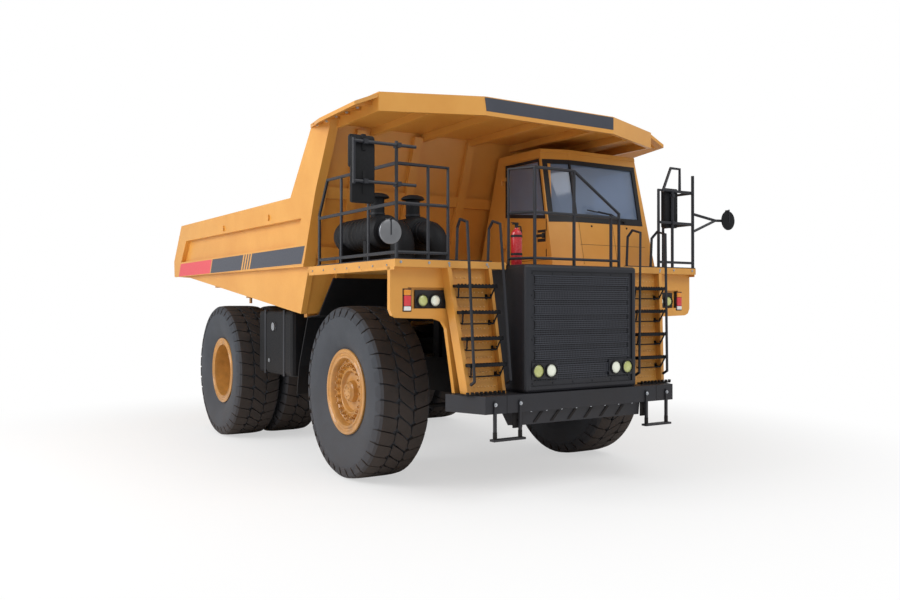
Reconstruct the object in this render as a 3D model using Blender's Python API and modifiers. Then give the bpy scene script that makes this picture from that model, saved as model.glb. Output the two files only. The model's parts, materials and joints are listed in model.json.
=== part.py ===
"""Rigid off-highway mining dump truck, 55 t class, at full size.

Metres, +Z up.  The truck faces -Y and its left (cab) side is +X.  X = 0 is the symmetry
plane of the chassis, Z = 0 the ground, and Y = 0 the middle of the overall length.
Each sub-part is one closed solid.  Moving pieces have their origin on their joint's axis.
"""
import math

import bmesh
import bpy
from mathutils import Matrix, Vector

# ---------------------------------------------------------------- driving dimensions
GAP = 0.0003            # between pieces that touch
PIN_GAP = 0.0005        # between faces that turn or slide on each other

TYRE_RADIUS = 1.075     # 24.00R35 on its flats
TYRE_HALF_WIDTH = 0.350
TYRE_SEGMENTS = 28
RIM_SEAT_RADIUS = 0.445
RIM_FLANGE_RADIUS = 0.535
RIM_INNER_RADIUS = 0.405
RIM_HALF_SEAT = 0.250   # between the flanges
RIM_HALF_WIDTH = 0.287
RIM_SEGMENTS = 20
FRONT_AXLE_Y = -2.375
WHEELBASE = 4.370
REAR_AXLE_Y = FRONT_AXLE_Y + WHEELBASE
AXLE_Z = TYRE_RADIUS
FRONT_TYRE_X = 1.720
REAR_OUTER_X = 1.881
DUAL_SPACING = 0.772
REAR_INNER_X = REAR_OUTER_X - DUAL_SPACING
KINGPIN_X = 1.200

RAIL_IN, RAIL_OUT = 0.280, 0.500
RAIL_BOTTOM, RAIL_TOP, RAIL_TOP_REAR = 0.990, 1.450, 1.800
RAIL_FRONT_Y = -4.100
PIVOT_Y, PIVOT_Z = 2.655, 1.730
PIVOT_PIN_RADIUS = 0.085

BUMPER_FRONT_Y, BUMPER_HALF, BUMPER_WING = -4.606, 1.422, 1.607
BUMPER_BOTTOM, BUMPER_TOP = 0.984, 1.176

HOUSING_FRONT_Y, HOUSING_REAR_Y = -4.565, -3.850
HOUSING_HALF, HOUSING_TOP, HOUSING_WALL = 0.843, 2.616, 0.060

DECK_HALF, DECK_FRONT_Y, DECK_REAR_Y = 2.300, -4.205, -1.925
DECK_BOTTOM, DECK_TOP = 2.565, 2.645
FASCIA_Y, FASCIA_THICK = -4.095, 0.060

CAB_RIGHT, CAB_LEFT_LOW, CAB_LEFT_HIGH = 0.500, 2.200, 2.100
CAB_ROOF, CAB_WALL = 4.250, 0.060
CAB_CORNER_X = 0.880    # where the slanted corner pane meets the front
CAB_FRONT_LOW, CAB_FRONT_HIGH = -3.570, -3.250
CAB_SIDE_LOW, CAB_SIDE_HIGH = -3.400, -3.120
CAB_REAR_LOW, CAB_REAR_HIGH = -1.705, -2.200
CAB_CHAMFER_X, CAB_CHAMFER_Y = 0.080, 0.140   # rear left corner, clear of the bed's side
GLASS_LOW, GLASS_HIGH = 3.330, 4.060
GLASS_DEPTH, GLASS_THICK = 0.020, 0.020
DOOR_GAP = 0.006
DOOR_REAR_Y = -2.330
DOOR_HINGE_OUT = 0.020  # hinge axis outside the wall
DOOR_HINGE_RADIUS = 0.018

BED_HALF, BED_SKIN = 2.250, 2.170
BED_TOP = 3.600
BED_BELLY_FRONT = (-1.375, 2.040)
BED_BELLY_REAR = (3.825, 2.660)
BED_TAIL = (4.615, 2.700)
BED_TAIL_TIP = (4.645, 2.990)
BED_TAIL_TOP = (4.145, 3.640)
BED_FRONT_TOP = (-2.025, BED_TOP)
BED_FRONT_KINK = (-1.640, 2.660)
FLOOR_THICK = 0.080
FLOOR_LIFT = 0.002      # the floor above the sides' lower edge
HEADBOARD_THICK = 0.080
HEADBOARD_SLOPE = 0.347  # how far it leans forward for each metre of height
SIDE_INNER = 2.090
RIB_INNER = 2.130
POST_INNER = 2.132      # the canopy's uprights pass outside the cab

CANOPY_FRONT_Y, CANOPY_FRONT_HALF = -4.006, 0.997
CANOPY_CORNER = (2.146, -3.545)
CANOPY_REAR_Y = -2.050
CANOPY_TOP, CANOPY_PLATE, CANOPY_LIP = 4.567, 4.450, 4.350
WING_TIP_X = 2.500

BEAM_GAP = 0.006        # the bed's beams over the rails
HINGE_PLATE_X, HINGE_PLATE_THICK = 0.5055, 0.080

HOIST_X = 0.635
HOIST_FOOT = (0.800, 0.950)
HOIST_HEAD = (0.700, 2.150)
BARREL_RADIUS, STAGE_RADIUS, ROD_RADIUS = 0.105, 0.085, 0.060
HOIST_EYE_RADIUS, HOIST_EYE_HALF = 0.095, 0.090
SLIDE_GAP = 0.0006
BARREL_LENGTH, STAGE_START, STAGE_END, ROD_START = 1.000, 0.200, 1.030, 0.260

TUBE_RADIUS = 0.021
RAIL_X, RAIL_Y = 2.270, -4.180
RAIL_TOP_Z, RAIL_MID_Z, RAIL_TOE_Z = 3.660, 3.240, 2.720
MIRROR_TUBE_Y = -4.225
TUBE_STEP = 0.0006      # difference in radius between tubes that cross
STRIP_THICK = 0.012

CYLINDER_SEGMENTS = 24
SMALL_SEGMENTS = 16

COLOURS = {
    "yellow_paint": ("#DE9B35", 0.42, 0.0),
    "dark_paint": ("#33363F", 0.50, 0.0),
    "black_paint": ("#1C1D21", 0.55, 0.0),
    "rubber": ("#45484E", 0.85, 0.0),
    "steel": ("#8A8D92", 0.35, 1.0),
    "glass": ("#5F6E87", 0.08, 0.0),
    "red_paint": ("#C8323A", 0.35, 0.0),
    "mirror": ("#85878C", 0.15, 0.6),
    "trim": ("#2A2B2E", 0.80, 0.0),
}


# ---------------------------------------------------------------- modelling helpers
def clear_scene():
    """Remove every object of the start-up scene."""
    for old in list(bpy.data.objects):
        bpy.data.objects.remove(old, do_unlink=True)


def material(name):
    """Return the named Principled material, made once."""
    found = bpy.data.materials.get(name)
    if found:
        return found
    colour, roughness, metallic = COLOURS[name]
    made = bpy.data.materials.new(name)
    made.use_nodes = True
    shader = made.node_tree.nodes["Principled BSDF"]
    srgb = [int(colour[i:i + 2], 16) / 255 for i in (1, 3, 5)]
    linear = [c / 12.92 if c <= 0.04045 else ((c + 0.055) / 1.055) ** 2.4 for c in srgb]
    shader.inputs["Base Color"].default_value = (*linear, 1.0)
    shader.inputs["Roughness"].default_value = roughness
    shader.inputs["Metallic"].default_value = metallic
    return made


def link(name, data):
    """Put a new object with this mesh or curve in the truck's collection."""
    made = bpy.data.objects.new(name, data)
    TRUCK.objects.link(made)
    return made


def from_bmesh(name, bm):
    """Turn a bmesh into an object with outward faces."""
    bmesh.ops.recalc_face_normals(bm, faces=bm.faces)
    if bm.calc_volume(signed=True) < 0:
        bmesh.ops.reverse_faces(bm, faces=bm.faces)
    mesh = bpy.data.meshes.new(name)
    bm.to_mesh(mesh)
    bm.free()
    return link(name, mesh)


def box(low, high, name="box"):
    """A block between two opposite corners."""
    low, high = Vector(low), Vector(high)
    bm = bmesh.new()
    bmesh.ops.create_cube(bm, size=1.0)
    size = Matrix.Diagonal((*(high - low), 1.0))
    bm.transform(Matrix.Translation((low + high) / 2) @ size)
    return from_bmesh(name, bm)


def cylinder(start, end, radius, segments=CYLINDER_SEGMENTS, end_radius=None, name="cylinder"):
    """A cylinder or cone from one end's centre to the other's."""
    start, end = Vector(start), Vector(end)
    along = end - start
    bm = bmesh.new()
    bmesh.ops.create_cone(bm, cap_ends=True, segments=segments, radius1=radius,
                          radius2=radius if end_radius is None else end_radius, depth=along.length)
    turn = along.to_track_quat("Z", "Y").to_matrix().to_4x4()
    bm.transform(Matrix.Translation((start + end) / 2) @ turn)
    return from_bmesh(name, bm)


def hull(points, name="hull"):
    """The convex block through a set of corners."""
    bm = bmesh.new()
    for point in points:
        bm.verts.new(point)
    bmesh.ops.convex_hull(bm, input=bm.verts)
    return from_bmesh(name, bm)


def realise(guide, name=None):
    """Replace a curve or modified object by its evaluated mesh in world space."""
    bpy.context.view_layer.update()
    graph = bpy.context.evaluated_depsgraph_get()
    mesh = bpy.data.meshes.new_from_object(guide.evaluated_get(graph), depsgraph=graph)
    mesh.transform(guide.matrix_world)
    bm = bmesh.new()
    bm.from_mesh(mesh)
    bmesh.ops.remove_doubles(bm, verts=bm.verts, dist=1e-5)
    bmesh.ops.dissolve_degenerate(bm, edges=bm.edges, dist=1e-5)
    bpy.data.meshes.remove(mesh)
    name = name or guide.name
    bpy.data.objects.remove(guide, do_unlink=True)
    return from_bmesh(name, bm)


PLANES = {
    "YZ": Matrix(((0, 0, 1, 0), (1, 0, 0, 0), (0, 1, 0, 0), (0, 0, 0, 1))),
    "XZ": Matrix(((1, 0, 0, 0), (0, 0, -1, 0), (0, 1, 0, 0), (0, 0, 0, 1))),
    "XY": Matrix.Identity(4),
}


def plate(outline, plane, low, high, holes=()):
    """A flat outline in the named plane, extruded between two levels of the third axis."""
    curve = bpy.data.curves.new("plate", "CURVE")
    curve.dimensions = "2D"
    curve.fill_mode = "BOTH"
    curve.extrude = (high - low) / 2
    for ring in (outline, *holes):
        spline = curve.splines.new("POLY")
        spline.points.add(len(ring) - 1)
        for point, (u, v) in zip(spline.points, ring):
            point.co = (u, v, 0, 1)
        spline.use_cyclic_u = True
    guide = link("plate", curve)
    middle = (low + high) / 2
    normal = PLANES[plane].to_3x3() @ Vector((0, 0, 1))
    guide.matrix_world = Matrix.Translation(normal * middle * normal[["YZ", "XZ", "XY"].index(plane)]) @ PLANES[plane]
    return realise(guide)


def tube(points, radius=TUBE_RADIUS, resolution=1):
    """A round bar along straight runs."""
    curve = bpy.data.curves.new("tube", "CURVE")
    curve.dimensions = "3D"
    curve.bevel_depth = radius
    curve.bevel_resolution = resolution
    curve.use_fill_caps = True
    spline = curve.splines.new("POLY")
    spline.points.add(len(points) - 1)
    for point, place in zip(spline.points, points):
        point.co = (*place, 1)
    return realise(link("tube", curve))


def turned(profile, segments, centre, name="turned"):
    """Spin a closed (radius, x) profile about the X axis through a centre."""
    mesh = bpy.data.meshes.new(name)
    count = len(profile)
    on_axis = profile[0][0] == 0 and profile[-1][0] == 0
    edges = [(i, (i + 1) % count) for i in range(count - 1 if on_axis else count)]
    mesh.from_pydata([(radius, 0, x) for radius, x in profile], edges, [])
    guide = link(name, mesh)
    screw = guide.modifiers.new("turn", "SCREW")
    screw.steps = screw.render_steps = segments
    screw.use_merge_vertices = True
    screw.merge_threshold = 1e-5
    half_step = Matrix.Rotation(math.pi / segments, 4, "Z")
    to_x = Matrix(((0, 0, 1, 0), (1, 0, 0, 0), (0, 1, 0, 0), (0, 0, 0, 1)))
    guide.matrix_world = Matrix.Translation(centre) @ to_x @ half_step
    return realise(guide)


def combine(base, others, operation):
    """Boolean the other objects into the base and return the new mesh object."""
    for other in others:
        modifier = base.modifiers.new("combine", "BOOLEAN")
        modifier.operation = operation
        modifier.solver = "EXACT"
        modifier.object = other
    made = realise(base)
    for other in others:
        bpy.data.objects.remove(other, do_unlink=True)
    return made


def fuse(pieces):
    """Join overlapping solids into one."""
    return combine(pieces[0], pieces[1:], "UNION")


def cut(base, cutters):
    """Take solids out of a base."""
    return combine(base, cutters, "DIFFERENCE")


def mirrored(source):
    """A copy reflected across X = 0."""
    mesh = source.data.copy()
    mesh.transform(Matrix.Diagonal((-1, 1, 1, 1)))
    mesh.flip_normals()
    return link(source.name, mesh)


def finish(piece, name, paint, origin=(0, 0, 0)):
    """Name and paint a sub-part, shade it, and put its origin at a point."""
    piece.name = name
    piece.data.name = name
    piece.data.transform(Matrix.Translation(-Vector(origin)))
    piece.location = origin
    piece.data.materials.clear()
    piece.data.materials.append(material(paint))
    piece.data.shade_smooth()
    piece.data.set_sharp_from_angle(angle=math.radians(30))
    return piece


def pair(piece, name, paint, origin=(0, 0, 0)):
    """Finish a left (+X) piece and its mirrored right twin."""
    twin = mirrored(piece)
    finish(piece, name + "_left", paint, origin)
    finish(twin, name + "_right", paint, (-origin[0], origin[1], origin[2]))


def both_sides(piece):
    """A piece and its mirror image, for joining to one body."""
    return [piece, mirrored(piece)]


def line_at(start, end, y):
    """Height of the line through two (y, z) points at y."""
    return start[1] + (end[1] - start[1]) * (y - start[0]) / (end[0] - start[0])


def belly(y):
    """Height of the bed floor's underside at y."""
    if y > BED_BELLY_REAR[0]:
        return line_at(BED_BELLY_REAR, BED_TAIL, y) + FLOOR_LIFT
    return line_at(BED_BELLY_FRONT, BED_BELLY_REAR, y) + FLOOR_LIFT


def headboard_y(z):
    """Y of the headboard's front surface at height z."""
    return -1.360 - (z - BED_BELLY_FRONT[1]) * HEADBOARD_SLOPE


# ---------------------------------------------------------------- wheels
def tyre_profile():
    """Closed (radius, x) section of the tyre carcass, bead to tread."""
    bead = RIM_HALF_SEAT - PIN_GAP
    tread = TYRE_RADIUS / math.cos(math.pi / TYRE_SEGMENTS)
    half = [(0.452, bead), (0.560, bead), (0.680, 0.330), (0.850, TYRE_HALF_WIDTH),
            (0.990, TYRE_HALF_WIDTH - 0.002), (tread, 0.290)]
    return half + [(radius, -x) for radius, x in reversed(half)]


def front_rim_profile():
    """(radius, x) section of the front rim with its disc and hub; x is outboard."""
    seat, flange, inner = RIM_SEAT_RADIUS, RIM_FLANGE_RADIUS, RIM_INNER_RADIUS
    wide, narrow = RIM_HALF_WIDTH, RIM_HALF_SEAT
    return [(0, 0.255), (0.110, 0.255), (0.135, 0.225), (0.150, 0.150), (0.235, 0.150),
            (0.270, 0.200), (0.385, 0.200), (0.425, wide), (flange, wide), (flange, narrow),
            (seat, narrow), (seat, -narrow), (flange, -narrow), (flange, -wide),
            (inner, -wide), (inner, 0.110), (0.200, 0.090), (0.200, -0.020), (0, -0.020)]


def rear_rim_profile():
    """(radius, x) section of the twin rims, spacer band, dish and final drive."""
    seat, flange, inner = RIM_SEAT_RADIUS, RIM_FLANGE_RADIUS, RIM_INNER_RADIUS
    outer, inside = REAR_OUTER_X, REAR_INNER_X
    wide, narrow = RIM_HALF_WIDTH, RIM_HALF_SEAT
    return [(0, 1.900), (0.150, 1.900), (0.190, 1.860), (0.215, 1.620), (0.270, 1.580),
            (inner, 1.560), (0.425, outer + wide),
            (flange, outer + wide), (flange, outer + narrow), (seat, outer + narrow),
            (seat, outer - narrow), (flange, outer - narrow), (flange, outer - wide),
            (0.430, outer - wide), (0.430, inside + wide),
            (flange, inside + wide), (flange, inside + narrow), (seat, inside + narrow),
            (seat, inside - narrow), (flange, inside - narrow), (flange, inside - wide),
            (inner, inside - wide), (inner, 1.500), (0, 1.500)]


def make_wheels():
    """Six tyres, two front rims and two rear twin rims."""
    front = (FRONT_TYRE_X, FRONT_AXLE_Y, AXLE_Z)
    rear = (0.0, REAR_AXLE_Y, AXLE_Z)
    pair(turned(tyre_profile(), TYRE_SEGMENTS, front), "front_tyre", "rubber", front)
    pair(turned(front_rim_profile(), RIM_SEGMENTS, front), "front_rim", "yellow_paint", front)
    for label, x in (("outer", REAR_OUTER_X), ("inner", REAR_INNER_X)):
        centre = (x, REAR_AXLE_Y, AXLE_Z)
        pair(turned(tyre_profile(), TYRE_SEGMENTS, centre), "rear_%s_tyre" % label, "rubber", centre)
    pair(turned(rear_rim_profile(), RIM_SEGMENTS, rear), "rear_rim", "yellow_paint",
         (REAR_OUTER_X, REAR_AXLE_Y, AXLE_Z))


# ---------------------------------------------------------------- chassis
STRUT_RADIUS, STRUT_BOTTOM, STRUT_TOP = 0.130, 1.500, 2.350
TOWER_LOW, TOWER_HIGH, TOWER_HALF_Y = 1.950, 2.200, 0.140
TANK_BRACKET_X = 0.800
MUDGUARD_BAR_Z = 1.600


def make_frame():
    """Two rails with crossmembers, strut tower, tail pivot and brackets."""
    rail = [(RAIL_FRONT_Y, RAIL_BOTTOM), (0.700, RAIL_BOTTOM), (1.250, 1.420), (2.450, 1.420),
            (PIVOT_Y, PIVOT_Z - 0.160), (PIVOT_Y, RAIL_TOP_REAR), (0.350, RAIL_TOP_REAR),
            (-1.300, RAIL_TOP), (HOUSING_REAR_Y + 0.020, RAIL_TOP), (HOUSING_REAR_Y + 0.020, BUMPER_TOP),
            (RAIL_FRONT_Y, BUMPER_TOP)]
    pieces = []
    for side in (-1, 1):
        x_low, x_high = sorted((side * RAIL_IN, side * RAIL_OUT))
        pieces.append(plate(rail, "YZ", x_low, x_high))
    across = RAIL_IN + 0.05
    for y_low, y_high, z_low, z_high in ((-4.000, -3.850, 1.030, 1.150), (0.600, 0.750, 1.080, 1.500),
                                         (-0.480, -0.330, 1.150, 1.400)):
        pieces.append(box((-across, y_low, z_low), (across, y_high, z_high)))
    pieces.append(cylinder((-across, 2.350, 1.620), (across, 2.350, 1.620), 0.110, SMALL_SEGMENTS))
    pieces.append(box((-KINGPIN_X, FRONT_AXLE_Y - TOWER_HALF_Y, TOWER_LOW),
                      (KINGPIN_X, FRONT_AXLE_Y + TOWER_HALF_Y, TOWER_HIGH)))
    for side in (-1, 1):
        def at(x, y, z, side=side):
            return (side * x, y, z)
        pieces.append(box(at(0.290, FRONT_AXLE_Y - 0.120, RAIL_TOP - 0.05),
                          at(0.490, FRONT_AXLE_Y + 0.120, DECK_BOTTOM - GAP)))
        pieces.append(box(at(0.300, -2.150, RAIL_TOP - 0.05), at(0.480, -2.010, DECK_BOTTOM - GAP)))
        pieces.append(cylinder(at(KINGPIN_X, FRONT_AXLE_Y, STRUT_BOTTOM),
                               at(KINGPIN_X, FRONT_AXLE_Y, STRUT_TOP), STRUT_RADIUS, SMALL_SEGMENTS))
        pieces.append(cylinder(at(RAIL_IN, PIVOT_Y, PIVOT_Z), at(HINGE_PLATE_X - PIN_GAP, PIVOT_Y, PIVOT_Z),
                               0.160))
        pieces.append(cylinder(at(0.400, PIVOT_Y, PIVOT_Z),
                               at(HINGE_PLATE_X + HINGE_PLATE_THICK + 0.030, PIVOT_Y, PIVOT_Z),
                               PIVOT_PIN_RADIUS))
        pieces.append(box(at(0.300, -0.960, 1.400), at(0.480, -0.860, MUDGUARD_BAR_Z - GAP)))
        for y in (-0.500, 0.200):
            pieces.append(box(at(0.450, y, 1.250), at(TANK_BRACKET_X, y + 0.100, 1.400)))
        foot_y, foot_z = HOIST_FOOT
        pieces.append(box(at(0.400, foot_y - 0.120, foot_z - 0.100), at(0.480, foot_y + 0.120, 1.200)))
        pieces.append(cylinder(at(0.450, foot_y, foot_z), at(HOIST_X - HOIST_EYE_HALF - PIN_GAP, foot_y, foot_z),
                               0.090, SMALL_SEGMENTS))
        pieces.append(cylinder(at(0.450, foot_y, foot_z), at(HOIST_X + 0.110, foot_y, foot_z), 0.050,
                               SMALL_SEGMENTS))
    finish(fuse(pieces), "main_frame", "black_paint")


def make_bumper():
    """Bumper beam with swept wings, hanging foot steps and the guard below it."""
    rear = RAIL_FRONT_Y - GAP
    beam = plate([(-BUMPER_HALF, BUMPER_FRONT_Y), (BUMPER_HALF, BUMPER_FRONT_Y), (BUMPER_WING, rear),
                  (-BUMPER_WING, rear)], "XY", BUMPER_BOTTOM, BUMPER_TOP)
    pieces = [beam, hull([(x, y, z) for x in (-0.900, 0.900)
                          for y, z in ((-4.560, 1.000), (-4.120, 1.000), (-4.540, 0.830), (-4.300, 0.800))])]
    for side in (-1, 1):
        inner, outer = side * 0.961, side * 1.300
        for x in (inner, outer):
            pieces.append(box((x - 0.016, BUMPER_FRONT_Y - 0.018, 0.700),
                              (x + 0.016, BUMPER_FRONT_Y + 0.010, 1.120)))
        low, high = sorted((inner - side * 0.045, outer + side * 0.045))
        pieces.append(box((low, BUMPER_FRONT_Y - 0.050, 0.692), (high, BUMPER_FRONT_Y + 0.030, 0.716)))
    finish(fuse(pieces), "front_bumper", "dark_paint")


def make_radiator():
    """Open-backed radiator housing and the grille in its front opening."""
    floor = BUMPER_TOP + GAP
    shell = box((-HOUSING_HALF, HOUSING_FRONT_Y, floor), (HOUSING_HALF, HOUSING_REAR_Y, HOUSING_TOP))
    bevel = shell.modifiers.new("round", "BEVEL")
    bevel.width, bevel.segments, bevel.limit_method, bevel.angle_limit = 0.035, 2, "ANGLE", 1.0
    shell = realise(shell)
    wall, lip = HOUSING_WALL, HOUSING_WALL + 0.012
    hollow = box((wall - HOUSING_HALF, HOUSING_FRONT_Y + wall, floor + wall),
                 (HOUSING_HALF - wall, HOUSING_REAR_Y + wall, HOUSING_TOP - wall))
    mouth = box((lip - HOUSING_HALF, HOUSING_FRONT_Y - wall, floor + lip),
                (HOUSING_HALF - lip, HOUSING_FRONT_Y + 2 * wall, HOUSING_TOP - lip))
    finish(cut(shell, [hollow, mouth]), "radiator_housing", "dark_paint")
    inset = lip + GAP
    grille = box((inset - HOUSING_HALF, HOUSING_FRONT_Y + 0.018, floor + inset),
                 (HOUSING_HALF - inset, HOUSING_FRONT_Y + 0.055, HOUSING_TOP - inset))
    finish(grille, "radiator_grille", "black_paint")


def make_power_train():
    """Engine block with its sump, and the gearbox between the rails."""
    beside = RAIL_IN - GAP
    pieces = [box((-0.450, -3.780, RAIL_TOP + GAP), (0.450, -2.580, 2.400)),
              box((-0.250, -3.600, 1.120), (0.250, -2.700, 1.500)),
              cylinder((0, -2.800, 1.280), (0, -1.700, 1.280), 0.070, SMALL_SEGMENTS),
              box((-beside, -1.900, 1.020), (beside, -0.600, 1.420))]
    finish(fuse(pieces), "engine_and_gearbox", "steel")


def make_deck():
    """Deck plate around the radiator housing, with a turned-down edge."""
    notch = HOUSING_HALF + 0.010
    outline = [(-DECK_HALF, DECK_FRONT_Y), (-notch, DECK_FRONT_Y), (-notch, HOUSING_REAR_Y + 0.010),
               (notch, HOUSING_REAR_Y + 0.010), (notch, DECK_FRONT_Y), (DECK_HALF, DECK_FRONT_Y),
               (DECK_HALF, DECK_REAR_Y), (-DECK_HALF, DECK_REAR_Y)]
    finish(plate(outline, "XY", DECK_BOTTOM, DECK_TOP), "deck", "yellow_paint")


def make_fenders():
    """Lamp fascia under the deck, its leg to the bumper, and the ladder beside it."""
    top = DECK_BOTTOM - GAP
    fascia = [(1.080, 2.300), (1.080, top), (DECK_HALF, top), (DECK_HALF, 2.110), (2.270, 2.045), (2.210, 2.020),
              (1.740, 2.006), (1.640, 1.975), (1.590, 1.900), (1.480, BUMPER_TOP + GAP),
              (1.370, BUMPER_TOP + GAP), (1.520, 2.300)]
    panel = plate(fascia, "XZ", FASCIA_Y, FASCIA_Y + FASCIA_THICK)
    recess = box((1.590, FASCIA_Y - 0.010, 2.120), (2.080, FASCIA_Y + 0.035, 2.350))
    panel = cut(panel, [recess])
    pieces = [panel]
    foot, head = (BUMPER_TOP + GAP, -4.370), (top, -4.190)

    def slanted(x_low, x_high, x_low_top, x_high_top, front, back):
        low_z, low_y = foot
        high_z, high_y = head
        corners = [(x, low_y + d, low_z) for x in (x_low, x_high) for d in (front, back)]
        corners += [(x, high_y + d, high_z) for x in (x_low_top, x_high_top) for d in (front, back)]
        return hull(corners)

    pieces.append(slanted(1.450, 1.500, 1.600, 1.650, -0.020, 0.130))
    pieces.append(slanted(0.990, 1.030, 1.060, 1.100, -0.020, 0.130))
    pieces.append(slanted(1.010, 1.480, 1.080, 1.630, 0.060, 0.090))
    for index in range(4):
        share = (1.500 + 0.288 * index - foot[0]) / (head[0] - foot[0])
        y = foot[1] + (head[1] - foot[1]) * share
        left, right = 1.000 + 0.070 * share, 1.470 + 0.150 * share
        z = foot[0] + (head[0] - foot[0]) * share
        pieces.append(box((left, y - 0.110, z - 0.015), (right, y + 0.075, z + 0.015)))
    pair(fuse(pieces), "fender_and_ladder", "yellow_paint")


def make_mudguards():
    """Guard plates over and behind the front wheels, joined by a bar over the rails."""
    thick = 0.020
    line = [(-1.930, 2.500), (-1.470, 2.020), (-1.100, 1.985), (-0.800, 1.300), (-0.720, 0.900)]
    outline = line + [(y + thick, z + (0.0 if z < 1.5 else thick * 0.6)) for y, z in reversed(line)]
    bar_y = -0.950
    pieces = [box((-0.950, bar_y, MUDGUARD_BAR_Z), (0.950, bar_y + 0.080, MUDGUARD_BAR_Z + 0.060))]
    pieces += both_sides(plate(outline, "YZ", 0.850, 1.950))
    finish(fuse(pieces), "front_mudguards", "black_paint")


def make_tanks():
    """Fuel tank on the right and hydraulic tank on the left of the frame."""
    low, high = (TANK_BRACKET_X + GAP, -0.650, 1.130), (2.000, 0.700, 2.080)
    tank = box(low, high)
    bevel = tank.modifiers.new("round", "BEVEL")
    bevel.width, bevel.segments, bevel.limit_method, bevel.angle_limit = 0.060, 2, "ANGLE", 1.0
    tank = realise(tank)
    twin = mirrored(tank)
    finish(tank, "hydraulic_tank", "black_paint")
    finish(twin, "fuel_tank", "black_paint")


def make_rear_axle():
    """Axle housing with final drives, drawbar to the crossmember and two struts."""
    end_x = 1.500 - PIN_GAP
    y, z = REAR_AXLE_Y, AXLE_Z
    pieces = [cylinder((-0.270, y, z), (0.270, y, z), 0.320),
              cylinder((-0.900, y, z), (0.900, y, z), 0.200),
              box((-0.120, 0.750 + GAP, z - 0.070), (0.120, y, z + 0.130))]
    for side in (-1, 1):
        pieces.append(cylinder((side * 0.800, y, z), (side * 1.440, y, z), 0.340))
        pieces.append(cylinder((side * 1.300, y, z), (side * end_x, y, z), 0.180))
        pieces.append(cylinder((side * 0.390, y + 0.050, z + 0.100), (side * 0.390, y + 0.050, 1.420 - GAP),
                               0.090, SMALL_SEGMENTS))
    finish(fuse(pieces), "rear_axle", "black_paint")


# ---------------------------------------------------------------- steering
ARM_LOW, ARM_HIGH = 0.800, 0.860
ARM_X, ARM_Y = KINGPIN_X - 0.120, FRONT_AXLE_Y + 0.480


def make_steering():
    """Left and right knuckles on their kingpins, and the tie rod between their arms."""
    knuckle = fuse([
        cylinder((KINGPIN_X, FRONT_AXLE_Y, 0.780), (KINGPIN_X, FRONT_AXLE_Y, STRUT_BOTTOM - PIN_GAP),
                 0.110, SMALL_SEGMENTS),
        cylinder((KINGPIN_X, FRONT_AXLE_Y, AXLE_Z), (1.500, FRONT_AXLE_Y, AXLE_Z), 0.150, SMALL_SEGMENTS),
        cylinder((1.450, FRONT_AXLE_Y, AXLE_Z), (1.700 - PIN_GAP, FRONT_AXLE_Y, AXLE_Z), 0.300),
        hull([(x, y, z) for z in (ARM_LOW, ARM_HIGH)
              for x, y in ((KINGPIN_X - 0.100, FRONT_AXLE_Y), (KINGPIN_X + 0.060, FRONT_AXLE_Y),
                           (ARM_X - 0.060, ARM_Y + 0.040), (ARM_X + 0.060, ARM_Y + 0.040))])])
    pair(knuckle, "steering_knuckle", "black_paint", (KINGPIN_X, FRONT_AXLE_Y, AXLE_Z))
    top = ARM_LOW - PIN_GAP
    eyes = both_sides(cylinder((ARM_X, ARM_Y, top - 0.080), (ARM_X, ARM_Y, top), 0.055, SMALL_SEGMENTS))
    rod = cylinder((-ARM_X, ARM_Y, top - 0.040), (ARM_X, ARM_Y, top - 0.040), 0.032, SMALL_SEGMENTS)
    finish(fuse([rod] + eyes), "tie_rod", "black_paint", (ARM_X, ARM_Y, top))


# ---------------------------------------------------------------- cab
def cab_outline(inset, height):
    """Plan corners of the cab at a height, moved in by the inset."""
    share = (height - DECK_TOP) / (CAB_ROOF - DECK_TOP)

    def between(low, high):
        return low + (high - low) * share
    left = between(CAB_LEFT_LOW, CAB_LEFT_HIGH) - inset
    right = CAB_RIGHT + inset
    front = between(CAB_FRONT_LOW, CAB_FRONT_HIGH) + inset
    side = between(CAB_SIDE_LOW, CAB_SIDE_HIGH) + inset * 0.9
    rear = between(CAB_REAR_LOW, CAB_REAR_HIGH) - inset
    chamfer_x, chamfer_y = CAB_CHAMFER_X - inset * 0.4, CAB_CHAMFER_Y - inset * 0.6   # an even wall
    return [(right, rear), (left - chamfer_x, rear), (left, rear - chamfer_y), (left, front),
            (CAB_CORNER_X + inset * 0.1, front), (right, side)]


def cab_block(inset, low, high):
    """The cab's tapered outer or inner form between two heights."""
    corners = [(x, y, z) for z in (low, high) for x, y in cab_outline(inset, z)]
    return hull(corners)


def windshield_cutter(margin):
    """The band of glass across the front and the slanted corner."""
    low, high = GLASS_LOW + margin, GLASS_HIGH - margin
    shapes = plate([(2.020 - margin, -3.800), (2.020 - margin, -3.050), (0.790 + margin, -2.900),
                    (0.380 + margin, -3.620), (0.380 + margin, -3.800)], "XY", low, high)
    return shapes


def rear_window_cutter(margin):
    """The window in the cab's rear wall."""
    return box((0.800 + margin, -2.200, 3.400 + margin), (1.850 - margin, -1.500, 4.000 - margin))


def side_window_cutter(margin):
    """The fixed window in the cab's left wall."""
    outline = [(-3.220 + margin, GLASS_LOW + 0.03 + margin), (-3.090 + margin, GLASS_HIGH - margin),
               (-2.400 - margin, GLASS_HIGH - margin), (-2.400 - margin, GLASS_LOW + 0.08 + margin)]
    return plate(outline, "YZ", 1.900, 2.400)


def door_outline(margin):
    """(y, z) outline of the door, grown by a margin for its opening."""
    return [(-3.270 - margin, 2.760 - margin), (-3.270 - margin, 3.230), (-3.110 - margin, 4.130 + margin),
            (DOOR_REAR_Y + margin, 4.130 + margin), (DOOR_REAR_Y + margin, 2.760 - margin)]


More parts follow.
